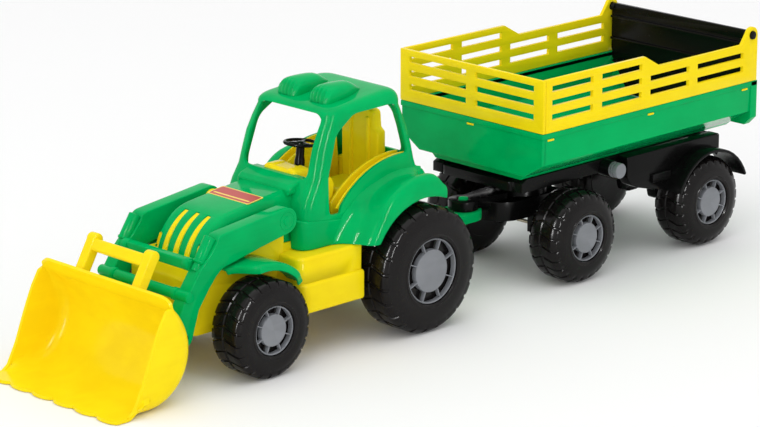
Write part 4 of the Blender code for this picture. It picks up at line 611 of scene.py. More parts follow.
class TOY_OT_stage(bpy.types.Operator):
    """Set up the pale floor, the soft light and the camera"""

    bl_idname = "toy.stage"
    bl_label = "Stage"
    SENSOR = 36.0
    FLOOR_REACH = 9000.0
    FLOOR_CELLS = 8
    # Lamps: size and place in metres, all pointed at the middle of the train
    LAMP_TARGET = (0.0, 0.0, 0.06)
    KEY = (3.2, 3.2), (0.15, 0.25, 3.0)
    FRONT_FILL = (0.9, 0.9), (1.9, 1.2, 0.75)
    STRIPS = {"strip_front": ((0.10, 1.3), (2.05, 0.62, 0.9)),
              "strip_side": ((0.10, 1.3), (0.55, 2.1, 0.9))}
    # Rays that see the background itself
    SEEN_BY = ("Is Camera Ray", "Is Glossy Ray", "Is Transmission Ray")

    def execute(self, context):
        scene = context.scene
        stage = scene.toy_stage
        data = bpy.data.cameras.new("camera")
        data.sensor_width = self.SENSOR
        data.lens = stage.lens
        scene.camera = placed("camera", data)
        aim(scene.camera, stage.camera, stage.target)
        self.floor(scene.toy_colours.floor)
        self.light("key", stage.key, *self.KEY)
        for name, strip in self.STRIPS.items():
            self.light(name, stage.gloss, *strip).visible_diffuse = False
        self.light("front_fill", stage.front, *self.FRONT_FILL).visible_glossy = False
        self.sky(scene, stage.fill)
        scene.view_settings.view_transform = "Standard"
        return {"FINISHED"}

    def floor(self, colour):
        """Wide pale floor."""
        half = self.FLOOR_CELLS / 2
        lines = [self.FLOOR_REACH * (line / half - 1) for line in range(self.FLOOR_CELLS + 1)]
        work = Shape().sheet([[(x, y, 0.0) for x in lines] for y in lines])
        floor = placed("floor", work.data("floor", Matrix.Scale(MM, 4)))
        pale = Finish("pale_floor")
        pale.set(Base_Color=pale.mix(pale.noise(3.0), rgba(colour, 0.995), rgba(colour, 1.005)),
                 Roughness=0.75, Specular_IOR_Level=0.1)
        floor.data.materials.append(pale.material)
        return floor

    def light(self, name, power, size, place):
        """Oblong lamp pointed at the train."""
        data = bpy.data.lights.new(name, "AREA")
        data.energy = power
        data.shape = "RECTANGLE"
        data.size, data.size_y = size
        lamp = placed(name, data)
        aim(lamp, place, self.LAMP_TARGET)
        return lamp

    def sky(self, scene, strength):
        """Even light, white to the camera and in reflections."""
        world = bpy.data.worlds.new("studio")
        scene.world = world
        world.use_nodes = True
        sky = Nodes(world.node_tree)
        camera, glossy, through = [sky.add("ShaderNodeLightPath", output=ray) for ray in self.SEEN_BY]
        seen = camera.math("MAXIMUM", camera, glossy)
        seen = seen.math("MAXIMUM", seen, through)
        back = sky.tree.nodes["Background"]
        sky.feed(back.inputs["Color"], rgba((1.0, 1.0, 1.0)))
        sky.feed(back.inputs["Strength"], sky.add("ShaderNodeMapRange", None, {
            "Value": seen, "To Min": strength, "To Max": 1.0}))


class TOY_OT_wheels(bpy.types.Operator):
    """Build the tyres with their lugs and the hub caps with their fins"""

    bl_idname = "toy.wheels"
    bl_label = "Wheels"
    # Share of a tyre's half width that its tread takes up
    TREADS = {"rear": 0.675, "front": 0.735, "dolly": 0.56, "trailer": 0.56}
    # Places along the pitch of the lugs and the share of the groove's depth there
    GROOVE = ((0.0, 0.0), (0.04, 0.9), (0.07, 1.0), (0.19, 1.0), (0.22, 0.9), (0.26, 0.0),
              (0.5, 0.0), (0.75, 0.0))
    # Slant of the lugs as a share of their pitch
    SLANT = 0.4
    POCKET_DEPTH = 7.0
    BORE = 1.7
    # Radius of the drum as a share of the cap's radius
    DRUM = 0.655
    FIN_HALF = 0.42

    def execute(self, context):
        sizes = context.scene.toy_sizes
        for axle, tread in self.TREADS.items():
            for side, sign in SIDES.items():
                wheel = f"{axle}_wheel_{side}"
                cap = f"{axle}_hubcap_{side}"
                low, high = train_box(wheel)
                cap_low, cap_high = train_box(cap)
                centre = (low + high) / 2
                half = (high.y - low.y) / 2
                radius = (high.z - low.z) / 2
                cap_radius = (cap_high.z - cap_low.z) / 2
                face = max(abs(cap_high.y - centre.y), abs(cap_low.y - centre.y))
                body = f"{axle}_axle_set"
                self.tyre(sizes, radius, half, tread * half, cap_radius, centre, sign).piece(
                    f"{axle}_tyre_{side}", body, "tyre_plastic", wheel)
                self.hub(sizes, cap_radius, face, centre, sign).piece(
                    f"{axle}_hub_{side}", body, "grey_plastic", cap)
        keep(["rear_axle", "front_axle", "dolly_axle", "trailer_axle"], "steel_rod", 0.3 * MM)
        return {"FINISHED"}

    def tyre(self, sizes, radius, half, tread, cap_radius, centre, sign):
        """Blown tyre: swollen sidewalls, broad lugs at a slight slant and a groove round the middle."""
        depth = mm(sizes.lug_depth)
        pocket = cap_radius + 0.3
        bead = pocket + 2.4
        wall = bead + 1.3
        shoulder = radius - 3.0
        middle = (half + tread) / 2
        crown = radius - 0.05
        # Radius, height along the axle, share of the groove's depth and share of the slant
        outer = [
            (pocket, half - self.POCKET_DEPTH, 0, 1), (pocket, half - 0.9, 0, 1),
            (pocket + 0.7, half - 0.2, 0, 1), (bead, half, 0, 1), (bead + 0.5, half - 0.5, 0, 1),
            (wall, half - 0.6, 0, 1),
        ]
        for step in range(1, 6):
            share = step / 6
            swell = 0.9 * sin(pi * share)
            outer.append((wall + share * (shoulder - wall) + 0.4 * swell,
                          half - 0.6 + share * (middle - half + 0.6) + swell, 0.3 * (step > 4), 1))
        outer += [
            (shoulder - 0.8, middle + 0.75, 0.75, 1), (shoulder + 0.6, middle - 0.2, 1, 1),
            (radius - 1.0, tread + 1.0, 1, 0.95), (crown, tread - 0.6, 1, 0.85),
            (radius, tread * 0.62, 1, 0.55), (radius, tread * 0.30, 1, 0.25),
            (crown, 1.5, 1, 0.1), (crown - 0.9, 0.9, 0, 0.05),
        ]
        inner = [(r, -y, groove, slant) for r, y, groove, slant in outer[::-1]][:-4]
        inner += [(bead, -half, 0, 1), (6.0, -half, 0, 1), (self.BORE, -half + 0.2, 0, 1)]
        pitch = 2 * pi / sizes.lugs
        turns = [(pitch * (lug + share), deep)
                 for lug in range(sizes.lugs) for share, deep in self.GROOVE]
        rows = []
        for r, y, groove, slant in outer + inner:
            row = []
            for turn, deep in turns:
                reach = r - depth * groove * deep
                around = turn + self.SLANT * pitch * slant
                row.append((centre.x + reach * sin(around), centre.y + sign * y,
                            centre.z + reach * cos(around)))
            rows.append(row)
        floor = sign * (half - self.POCKET_DEPTH)
        return Shape().sheet(rows, loop=True).turned([(pocket, floor), (self.BORE, floor)], centre, ACROSS)

    def hub(self, sizes, radius, face, centre, sign):
        """Grey cap: thin proud ring, drum in the middle and fins between them."""
        shape = Shape()
        rim = radius - 1.3
        drum = self.DRUM * radius
        top = face - 0.7
        ring = [(rim, face - 4.6), (rim, face - 0.5), (rim + 0.4, face - 0.05), (radius - 0.6, face),
                (radius - 0.15, face - 0.4), (radius, face - 1.0), (radius, face - 4.6)]
        dome = [(drum, face - 5.2), (drum, face - 1.5), (drum - 0.25, face - 0.95),
                (drum - 0.9, top), (drum - 1.3, top), (0.02, top)]
        for profile in (ring, dome):
            shape.turned([(r, sign * y) for r, y in profile], centre, ACROSS, 64)
        low, high = span(sign, face - 4.4, face - 0.55)
        fin = rounded(oblong((drum - 0.6, -self.FIN_HALF), (rim + 0.5, self.FIN_HALF)))
        for index in range(sizes.hub_fins):
            turn = Matrix.Rotation(2 * pi * (index + 0.5) / sizes.hub_fins, 4, "Y")
            shape.plate("side", low, high, fin, edge=0.3, steps=1, place=Matrix.Translation(centre) @ turn)
        return shape


class TOY_OT_cab(bpy.types.Operator):
    """Build the green cab with its roof, pillars, skirts, cowl, rear wings and roof lamps"""

    bl_idname = "toy.cab"
    bl_label = "Cab"
    FRONT_X = 97.5
    BACK_X = -33.0
    FOOT_Z = 80.5
    ROOF_Z = 188.0
    HALF = 46.5
    ROOF_HALF = 43.0
    CORNER = 11.5
    # Rounded edge of the roof: height, power of its curve and steps
    ROOF_EDGE = 13.0
    ROOF_CURVE = 0.72
    ROOF_STEPS = 9
    # The roof drops towards the screen from a level place, by so much over a run
    ROOF_LEVEL_X = 9.0
    ROOF_DROP = 4.5
    ROOF_RUN = 51.5
    # Radii about the rear axle
    DOOR_SILL = 87.0
    TYRE_ROOM = 58.5
    WING_RIM = 57.0
    WING_STEPS = 44
    WING_BACK_X = -21.7
    LAMP_Y = 17.7
    LAMP_TOP_Z = 195.9
    LAMP_RIB_PITCH = 3.7
    LAMP_COLUMNS = 56
    # Roof lamp: place along the roof, share of the height and half width
    LAMP = ((62.6, 0.02, 8.0), (62.2, 0.20, 8.9), (61.4, 0.42, 9.8), (60.2, 0.64, 10.5),
            (58.6, 0.82, 11.0), (56.6, 0.94, 11.3), (54.0, 1.0, 11.4), (48.0, 1.02, 11.2),
            (42.0, 1.02, 10.6), (37.0, 1.0, 9.7), (33.5, 0.96, 8.8), (31.0, 0.88, 8.0),
            (28.0, 0.72, 6.8), (25.0, 0.52, 5.4), (22.0, 0.30, 4.0), (19.4, 0.06, 2.6))
    SKIRT_X = 106.2
    SKIRT_Y = 48.7

    def levels(self, depth):
        """Height, rear, front and half width of the cab from its foot up to the edge of the roof."""
        front = self.FRONT_X - depth
        rear = self.BACK_X + depth
        half = self.HALF - depth
        edge = self.ROOF_Z - depth - self.ROOF_EDGE
        knots = [
            (self.FOOT_Z - 1, rear, front + 6, half + 1), (100, rear, front + 5.6, half + 1),
            (107, rear, front + 4.4, half + 0.8), (113, rear + 1, front + 2.6, half + 0.5),
            (119, rear + 5, front + 0.2, half + 0.2), (124, rear + 13, front - 2.8, half),
            (130, rear + 15, front - 6.5, half - 0.2), (142, rear + 17.5, front - 9.8, half - 0.7),
            (155, rear + 21, front - 13.6, half - 1.5), (166, rear + 24.8, front - 18.8, half - 2.5),
        ]
        for step in range(self.ROOF_STEPS + 1):
            turn = pi / 2 * step / self.ROOF_STEPS
            inset = 1 - cos(turn) ** self.ROOF_CURVE
            knots.append((edge + self.ROOF_EDGE * sin(turn) ** self.ROOF_CURVE, depth - 5 + 14 * inset,
                          front - 24 - 13 * inset, self.ROOF_HALF - depth - 9 * inset))
        return knots

    def fall(self, x, z):
        """Height of a point after the roof drops towards the screen."""
        share = max(0.0, min(1.0, (z - self.ROOF_Z + self.ROOF_EDGE) / self.ROOF_EDGE))
        return z - share * self.ROOF_DROP * (x - self.ROOF_LEVEL_X) / self.ROOF_RUN

    def block(self, depth, low=None):
        """Cab as one rounded block, drawn in by a depth; its foot may be set lower."""
        rows = []
        corner = self.CORNER - depth
        for height, rear, front, half in self.levels(depth):
            plan = rounded(oblong((rear, -half), (front, half), corner, corner), 7)
            level = low if low is not None and height < 100 else height
            rows.append([(x, y, self.fall(x, level)) for x, y in plan])
        rim = rows[-1]
        middle = sum(point[0] for point in rim) / len(rim)
        for share, rise in ((0.7, 0.3), (0.4, 0.5), (0.1, 0.6)):
            row = [(middle + (x - middle) * share, y * share) for x, y, _ in rim]
            rows.append([(x, y, self.fall(x, self.ROOF_Z - depth) + rise) for x, y in row])
        return Shape().sheet(rows, loop=True, caps=True)

    def openings(self):
        """Doorway through both sides, screen, rear window and the room for the rear tyres."""
        front, back = self.FRONT_X, self.BACK_X
        door = arc(REAR_AXLE, self.DOOR_SILL, 92, 42, 16) + rounded([
            (front - 30, 103, 4), (front - 19.5, 103, 5), (front - 20, 133, 22),
            (front - 30, 164, 16), (front - 50, 176.6, 16), (3, 177.6, 9), (-6, 138, 3)], 7)
        screen = rounded([(-36, 131, 7), (36, 131, 7), (34.5, 178.6, 8), (-34.5, 178.6, 8)], 8)
        window = rounded([(-31, 133, 6), (31, 133, 6), (29.5, 174, 9), (-29.5, 174, 9)], 8)
        tyres = arc(REAR_AXLE, self.TYRE_ROOM, 0, 360, 72)[:-1]
        return (Shape().cutter("side", -70, 70, door),
                Shape().cutter("front", front - 46, front + 14, screen),
                Shape().cutter("front", back - 10, back + 50, window),
                Shape().cutter("side", -90, 90, tyres))

    def wing(self, sign):
        """Rear wing: smooth at its foot, with a crest and a trough beside the cab further up."""
        rim = [(57.4, 44.6), (57.0, 60), (57.0, 72.2), (57.5, 73.4), (58.6, 74.0)]
        low = rim + [(60.5, 74.1), (62.6, 73.6), (64.4, 72.3), (65.8, 70.4), (66.9, 68.0), (68.1, 65.0),
                     (69.7, 61.2), (71.8, 57.2), (74.8, 53.2), (78.6, 50.2), (83.0, 48.2), (84.0, 44.6)]
        high = rim + [(63.0, 74.2), (69.0, 73.9), (72.2, 73.0), (74.0, 71.4), (74.7, 69.4), (74.5, 66.6),
                      (73.6, 62.8), (72.3, 58.4), (71.4, 54.4), (71.8, 50.8), (74.4, 47.9), (76.0, 44.6)]
        x0, z0 = REAR_AXLE
        rows = []
        for step in range(self.WING_STEPS + 1):
            share = step / self.WING_STEPS
            climb = smoothstep((share - 0.08) / 0.55)
            drop = 1 - 0.42 * smoothstep((share - 0.84) / 0.16) ** 2
            row = []
            for foot, crest in zip(low, high):
                reach, y = Vector(foot).lerp(Vector(crest), climb)
                radius = self.WING_RIM + (reach - self.WING_RIM) * (drop if y > 47.5 else 1)
                start = asin((self.FOOT_Z - z0) / radius)
                end = acos(self.WING_BACK_X / radius)
                turn = start + (end - start) * share
                row.append((x0 + radius * cos(turn), sign * y, z0 + radius * sin(turn)))
            rows.append(row)
        return Shape().sheet(rows, loop=True, caps=True)

    def lamp(self, sign):
        """Rows of a pod on the roof: steep ribbed face, flat top, and a tail that tapers away."""
        middle = sign * self.LAMP_Y
        columns = self.LAMP_COLUMNS
        rows = []
        for x, tall, wide in self.LAMP:
            roof = self.fall(x, self.ROOF_Z)
            height = (self.LAMP_TOP_Z - roof) * tall
            ribs = smoothstep((x - 56) / 3.5)
            row = []
            for column in range(columns + 1):
                turn = pi * column / columns
                side = wide * cos(turn) * (1 - 0.10 * sin(turn) ** 2)
                up = height * sin(turn) ** 0.45 if 0 < column < columns else -1.6
                rib = ribs * cos(2 * pi * side / self.LAMP_RIB_PITCH) * sin(turn) ** 0.5
                row.append((x + rib, middle + side, roof + up))
            row.append((x, middle, roof - 2.0))
            rows.append(row)
        return rows

    def skirt(self):
        """Band round the front corners below the doors, lower towards the wings."""
        x, y = self.SKIRT_X, self.SKIRT_Y
        skirt = Shape().plate("plan", self.FOOT_Z - 0.2, 103.6, rounded([
            (60, 44, 0), (60, y, 0), (x, y, 11), (x, 34.8, 0), (x - 4.8, 34.8, 0), (x - 4.8, 44, 7)], 8),
            edge=1.5, steps=4)
        skirt.bend(lambda point: point - 0.125 * (x - point.x) * (point.z > 92) * UP)
        return skirt.mirrored()

    def execute(self, context):
        wall = mm(context.scene.toy_sizes.wall)
        shell = self.block(0.0).carved("DIFFERENCE", self.block(wall, self.FOOT_Z - 6), *self.openings())
        for sign in SIDES.values():
            shell.join(self.wing(sign))
        shell.join(self.skirt())
        shell.join(Shape().plate("side", -29.5, 29.5, rounded([
            (84, 119.5, 0), (103.4, 119.5, 0), (103.4, 124.6, 2.6), (100.2, 127.6, 3), (91, 130.9, 1.5),
            (84, 130.9, 0)], 6), edge=3.2, steps=5))
        for sign in SIDES.values():
            shell.sheet(self.lamp(sign), loop=True, caps=True)
        shell.piece("cab_moulding", "tractor", "green_plastic", "cab", edge=0.7 * MM, limit=55)
        return {"FINISHED"}


class TOY_OT_inside(bpy.types.Operator):
    """Build the seat, the dash, the steering wheel and its column inside the cab"""

    bl_idname = "toy.inside"
    bl_label = "Cab inside"
    BACK_X = -30.2
    FRONT_X = 94.6
    FLOOR_Z = 87.0
    HALF = 35.2
    DASH_HALF = 31.5
    DASH_Z = 127.4
    SHELF_Z = 119.0
    LINING_Y = 43.4
    # Radii about the rear axle: door sill, lower and upper face of the step over the tyre
    SILL = 87.0
    STEP = (76.8, 78.8)
    COLUMN_LEAN = radians(5)
    WHEEL_RADIUS = 12.4
    WHEEL_THICK = 1.3
    SPOKES = (90, 210, 330)

    def tub(self):
        """Floor, dash, binnacle, shelf behind the seat, side panels and linings over the wings."""
        back, front, floor, half, dash = self.BACK_X, self.FRONT_X, self.FLOOR_Z, self.HALF, self.DASH_Z
        tub = Shape().block((back, -half, floor - 0.6), (front, half, floor + 1.8), 0.8)
        tub.plate("side", -self.DASH_HALF, self.DASH_HALF, rounded([
            (63, floor, 0), (front, floor, 0), (front, 108, 3), (89, 124.6, 4), (84, dash, 3),
            (60, dash, 4), (57, 121, 3)], 5), edge=1.8, steps=3)
        tub.plate("front", 69.2, 86.4, rounded([
            (-19, 121, 0), (19, 121, 0), (18.4, 133.6, 5), (9.6, 134.6, 3), (7.4, 133.4, 2),
            (-7.4, 133.4, 2), (-9.6, 134.6, 3), (-18.4, 133.6, 5)], 6), edge=3.6, steps=5)
        tub.plate("side", -half, half, rounded([
            (back, floor, 0), (-8.4, floor, 0), (-8.4, self.SHELF_Z, 2), (back + 5, self.SHELF_Z, 2),
            (back, 112, 2)], 4), edge=1.0)
        sill, (under, over) = self.SILL, self.STEP
        sides = Shape()
        sides.plate("side", half - 2.4, half, arc(REAR_AXLE, sill, 42, 94, 20)
                    + [(-10, floor), (64, floor)], edge=0.8)
        sides.plate("side", half - 1.0, self.LINING_Y, arc(REAR_AXLE, under, 44, 92, 20)
                    + arc(REAR_AXLE, over, 92, 44, 20), edge=0.7)
        sides.plate("side", self.LINING_Y - 1.8, self.LINING_Y, arc(REAR_AXLE, under, 40, 94, 20)
                    + arc(REAR_AXLE, sill + 0.4, 94, 40, 20), edge=0.6)
        return tub.join(sides.mirrored())

    @staticmethod
    def seat():
        """Cushion and a high back with two upright ribs."""
        low, high = train_box("driver_seat")
        base, top = low.z, high.z
        seat = Shape().plate("plan", base, base + 20, rounded([
            (low.x, -21, 3), (high.x, -20, 7), (high.x, 20, 7), (low.x, 21, 3)], 5), edge=3.4, steps=4)
        seat.plate("front", low.x, low.x + 9, rounded([
            (-20.5, base + 9, 0), (20.5, base + 9, 0), (20.5, 149, 3), (16.4, 152, 2), (15.4, top, 5),
            (-15.4, top, 5), (-16.4, 152, 2), (-20.5, 149, 3)], 5), edge=2.0, steps=3)
        for sign in SIDES.values():
            inner, outer = span(sign, 7.6, 11.4)
            seat.plate("front", low.x + 6, low.x + 11, rounded(
                oblong((inner, base + 16), (outer, top - 6), 2, 1.8), 4), edge=1.4, steps=3)
        return seat

    def steering(self, middle, axis):
        """Rim, hub and three spokes."""
        turns = [radians(turn) for turn in range(0, 361, 30)]
        wheel = Shape().turned([(self.WHEEL_RADIUS + self.WHEEL_THICK * cos(turn),
                                 self.WHEEL_THICK * sin(turn)) for turn in turns], middle, axis, 56)
        wheel.turned([(0.02, 1.4), (2.6, 1.3), (3.9, 0.6), (4.2, -0.4), (4.2, -2.4), (0.02, -2.5)],
                     middle, axis, 32)
        for angle in self.SPOKES:
            place = Matrix.Translation(middle) @ lean_to(axis) @ Matrix.Rotation(radians(angle), 4, "Z")
            wheel.plate("plan", -1.0, 0.9, [(2, -1.7), (12.0, -1.1), (12.0, 1.1), (2, 1.7)], edge=0.5,
                        place=place)
        return wheel

    def execute(self, context):
        self.tub().piece("cab_tub", "tractor", "yellow_plastic", "cab_interior")
        self.seat().piece("seat_moulding", "tractor", "yellow_plastic", "driver_seat")
        x, z = pivot("steering_wheel_turn")
        middle = Vector((x, 0, z))
        axis = Vector((-sin(self.COLUMN_LEAN), 0, cos(self.COLUMN_LEAN)))
        self.steering(middle, axis).piece("steering_rim", "steering", "black_plastic", "steering_wheel")
        foot = middle - axis * 22.4
        top = middle - axis * 2.9
        length = (top - foot).length
        column = Shape().turned([(0.02, 0), (4.1, 0), (4.0, 9), (3.3, 12), (3.3, length - 0.6),
                                 (2.8, length), (0.02, length)], foot, axis, 32)
        column.piece("steering_post", "tractor", "black_plastic", "steering_column")
        return {"FINISHED"}


class TOY_OT_bonnet(bpy.types.Operator):
    """Build the bonnet with its grille slots, the yellow insert and the bare label"""

    bl_idname = "toy.bonnet"
    bl_label = "Bonnet"
    REAR_X = 97.8
    NOSE_X = 194.0
    LOW_Z = 86.3
    TOP_REAR_Z = 124.5
    TOP_FRONT_Z = 117.0
    NOSE_RADIUS = 42.0
    HALF = 33.0
    # The sides lean in by a share of the width, and draw in towards the nose from a place on
    LEAN_IN = 0.212
    TAPER_X = 97.5
    NOSE_TAPER = 0.16
    # Rounding of the nose in plan
    SETBACK = 5.5
    SETBACK_X = 165.0
    # Material that is drawn beyond the lower and the rear edge and then cut off
    SPARE = 12.0
    SLOTS_Y = (-12.6, 0.0, 12.6)
    SLOT_HALF = 2.5
    SLOT_TOP_Z = 114.6
    LAMPS_Y = (24.0, -24.0)
    LAMP_HALF = 3.5
    LAMP_TOP_Z = 98.0
    LABEL_X = 130.5
    # Label: half length, half width, shift down the slope, height and finish
    LABEL = {"label_rim": (23.0, 8.3, 0.0, 0.16, "label_border"),
             "label_field": (21.9, 7.2, 0.0, 0.22, "label_field"),
             "label_line": (20.0, 0.9, 3.9, 0.26, "label_border")}

    def taper(self, point):
        """The bonnet narrows upwards and towards the nose, whose corners are rounded in plan."""
        climb = (point.z - self.LOW_Z) / (self.TOP_REAR_Z - self.LOW_Z)
        run = max(0, (point.x - self.TAPER_X) / (self.NOSE_X - self.TAPER_X) - 0.4)
        narrow = (1 - climb * self.LEAN_IN) * (1 - self.NOSE_TAPER * run)
        return self.setback(Vector((point.x, point.y * narrow, point.z)), narrow)

    def setback(self, point, narrow=0.84):
        """Rounding of the nose in plan."""
        share = min(1.0, abs(point.y) / narrow / self.HALF)
        back = self.SETBACK * share ** 4 * smoothstep((point.x - self.SETBACK_X) / 25)
        return Vector((point.x - back, point.y, point.z))

    def nose(self, depth, low, high, steps):
        """Curve of the nose at a depth, from a height up to an angle."""
        centre = (self.NOSE_X - self.NOSE_RADIUS, self.TOP_FRONT_Z - self.NOSE_RADIUS)
        radius = self.NOSE_RADIUS - depth
        return arc(centre, radius, degrees(asin((low - centre[1]) / radius)), high, steps)

    def skin(self, edge):
        """Bonnet without its openings, cut off level below and upright at the rear."""
        low, rear = self.LOW_Z - self.SPARE, self.REAR_X - self.SPARE
        skin = Shape().plate("side", -self.HALF, self.HALF, [(rear, low)] + self.nose(0, low, 84, 24)
                             + [(rear, self.TOP_REAR_Z + 1.56)], edge=edge, steps=6)
        skin.weld()
        skin.trim((0, 0, self.LOW_Z), (0, 0, -1))
        skin.trim((self.REAR_X, 0, 0), (-1, 0, 0))
        skin.bend(self.taper)
        return skin

    def opening(self, y, half, top, depth, radius, steps):
        """Slot in the nose, open below."""
        return Shape().cutter("front", self.NOSE_X - depth, self.NOSE_X + 8, rounded(
            oblong((y - half, self.LOW_Z - 4), (y + half, top), 0, radius), steps))

    def bar(self, insert, y, half, outer, inner, edge):
        """Adds a curved bar of the insert between two curves of the nose."""
        insert.plate("side", y - half, y + half, self.nose(*outer) + self.nose(*inner)[::-1], edge=edge)

    def insert(self):
        """Bars behind the slots, and lamps with a raised frame on both sides."""
        insert = Shape()
        low = self.LOW_Z
        for y in self.SLOTS_Y:
            self.bar(insert, y, self.SLOT_HALF - 0.05, (0.55, low, 68, 20), (6, low, 70, 20), 0.7)
        for y in self.LAMPS_Y:
            self.bar(insert, y, self.LAMP_HALF - 0.1, (1.6, low, 33, 10), (9, low, 36, 10), 0.8)
            for offset in (-2.7, 2.7):
                self.bar(insert, y + offset, 0.75, (0.7, low + 1.5, 31, 8), (3, low + 1.5, 31, 8), 0.4)
        insert.bend(self.setback)
        return insert

    def execute(self, context):
        slots = [self.opening(y, self.SLOT_HALF, self.SLOT_TOP_Z, 27, 2.4, 5) for y in self.SLOTS_Y]
        slots += [self.opening(y, self.LAMP_HALF, self.LAMP_TOP_Z, 30, 2, 4) for y in self.LAMPS_Y]
        skin = self.skin(mm(context.scene.toy_sizes.bonnet_round))
        skin.carved("DIFFERENCE", *slots).piece("bonnet_moulding", "tractor", "green_plastic", "bonnet",
                                                edge=0.5 * MM)
        self.insert().piece("grille_bars", "tractor", "yellow_plastic", "grille_insert")
        self.label()
        return {"FINISHED"}

    def label(self):
        """Bare label: a printed field inside a border, flush on the slope of the bonnet."""
        slope = (self.TOP_REAR_Z - 116.8) / 58.6
        lean = Matrix.Rotation(asin(slope / hypot(1, slope)), 4, "Y")
        level = self.TOP_REAR_Z - slope * (self.LABEL_X - self.REAR_X) + 0.02
        place = Matrix.Translation((self.LABEL_X, 0, level)) @ lean
        for name, (long, wide, shift, height, slot) in self.LABEL.items():
            radius = min(1.5, wide)
            shape = Shape().plate("plan", -0.3, height, rounded(
                oblong((shift - wide, -long), (shift + wide, long), radius, radius), 4),
                edge=0.05, steps=0, place=place)
            piece = shape.piece(name, "tractor", slot)


class TOY_OT_loader(bpy.types.Operator):
    """Build the loader arms with their mouldings, the cross bars and the pins"""

    bl_idname = "toy.loader"
    bl_label = "Loader"
    INNER_Y = 36.9
    OUTER_Y = 49.3
    CYLINDER_Y = 42.6
    PIVOT_RADIUS = 10.0
    TIP_RADIUS = 8.0

    def execute(self, context):
        x, z = pivot("loader_lift")
        tip_x, tip_z = pivot("bucket_tilt")
        inner, outer = self.INNER_Y, self.OUTER_Y
        outline = arc((x, z), self.PIVOT_RADIUS, 84, 262, 20)
        outline += [(x + 26, z - 15), (x + 56, z - 21.5), (x + 62, z - 22.6), (x + 66.5, z - 24.6),
                    (x + 71, z - 28.4), (x + 78, z - 36.5), (x + 88, z - 50)]
        outline += arc((tip_x, tip_z), self.TIP_RADIUS, 195, 375, 16)
        outline += [(tip_x + 5, tip_z + 17), (tip_x - 2, tip_z + 29), (x + 87, z - 21),
                    (x + 76, z - 10.4), (x + 69.6, z - 2.4), (x + 68.6, z + 0.4), (x + 66.4, z + 1.9),
                    (x + 64, z + 2.6)]
        arm = Shape().plate("side", inner, outer, outline, edge=1.1, steps=3)
        # Pivot disc, drawn as a shallow ring on the outer face
        arm.turned([(7.4, -0.4), (7.4, 0.22), (7.0, 0.32), (6.6, 0.22), (6.5, -0.05), (0.02, -0.05)],
                   (x, outer, z), ACROSS, 40)
        # Half-round cylinder on the front of the elbow, with a rod and a collar at its lower end
        low = Vector((x + 82.8, self.CYLINDER_Y, z - 17.2))
        high = Vector((x + 70.8, self.CYLINDER_Y, z + 0.6))
        along = (high - low).normalized()
        arm.rod(low, high, 4.6, 0.8)
        arm.rod(low - along * 6.0, low + along * 1.0, 3.4, 0.6)
        arm.rod(low + along * 0.6, low + along * 2.6, 5.1, 0.5)
        arm.mirrored()
        # Upper bar, a box, and lower bar, a rod through both arms, with a collar at each arm
        arm.block((x + 81.4, -inner - 2, z - 22.6), (x + 88.6, inner + 2, z - 14.6), 1.2)
        upper, lower = (x + 85, z - 18.6), (tip_x - 4.5, tip_z + 30)
        for sign in SIDES.values():
            for bar, reach in ((upper, 5.5), (lower, 4.5)):
                self.crosswise(arm, bar, sign * (inner - reach), sign * (inner + 1), 5.0)
        self.crosswise(arm, lower, -outer - 1.5, outer + 1.5, 4.2)
        arm.piece("loader_arms", "loader", "green_plastic", "loader_frame")
        keep(["loader_pin_left", "loader_pin_right"], "green_plastic", 0.5 * MM)
        keep(["bucket_pin_left", "bucket_pin_right"], "black_plastic", 0.5 * MM)
        return {"FINISHED"}

    @staticmethod
    def crosswise(arm, centre, start, end, radius):
        """Adds a rod that lies across the train."""
        x, z = centre
        arm.rod((x, start, z), (x, end, z), radius, 0.8)


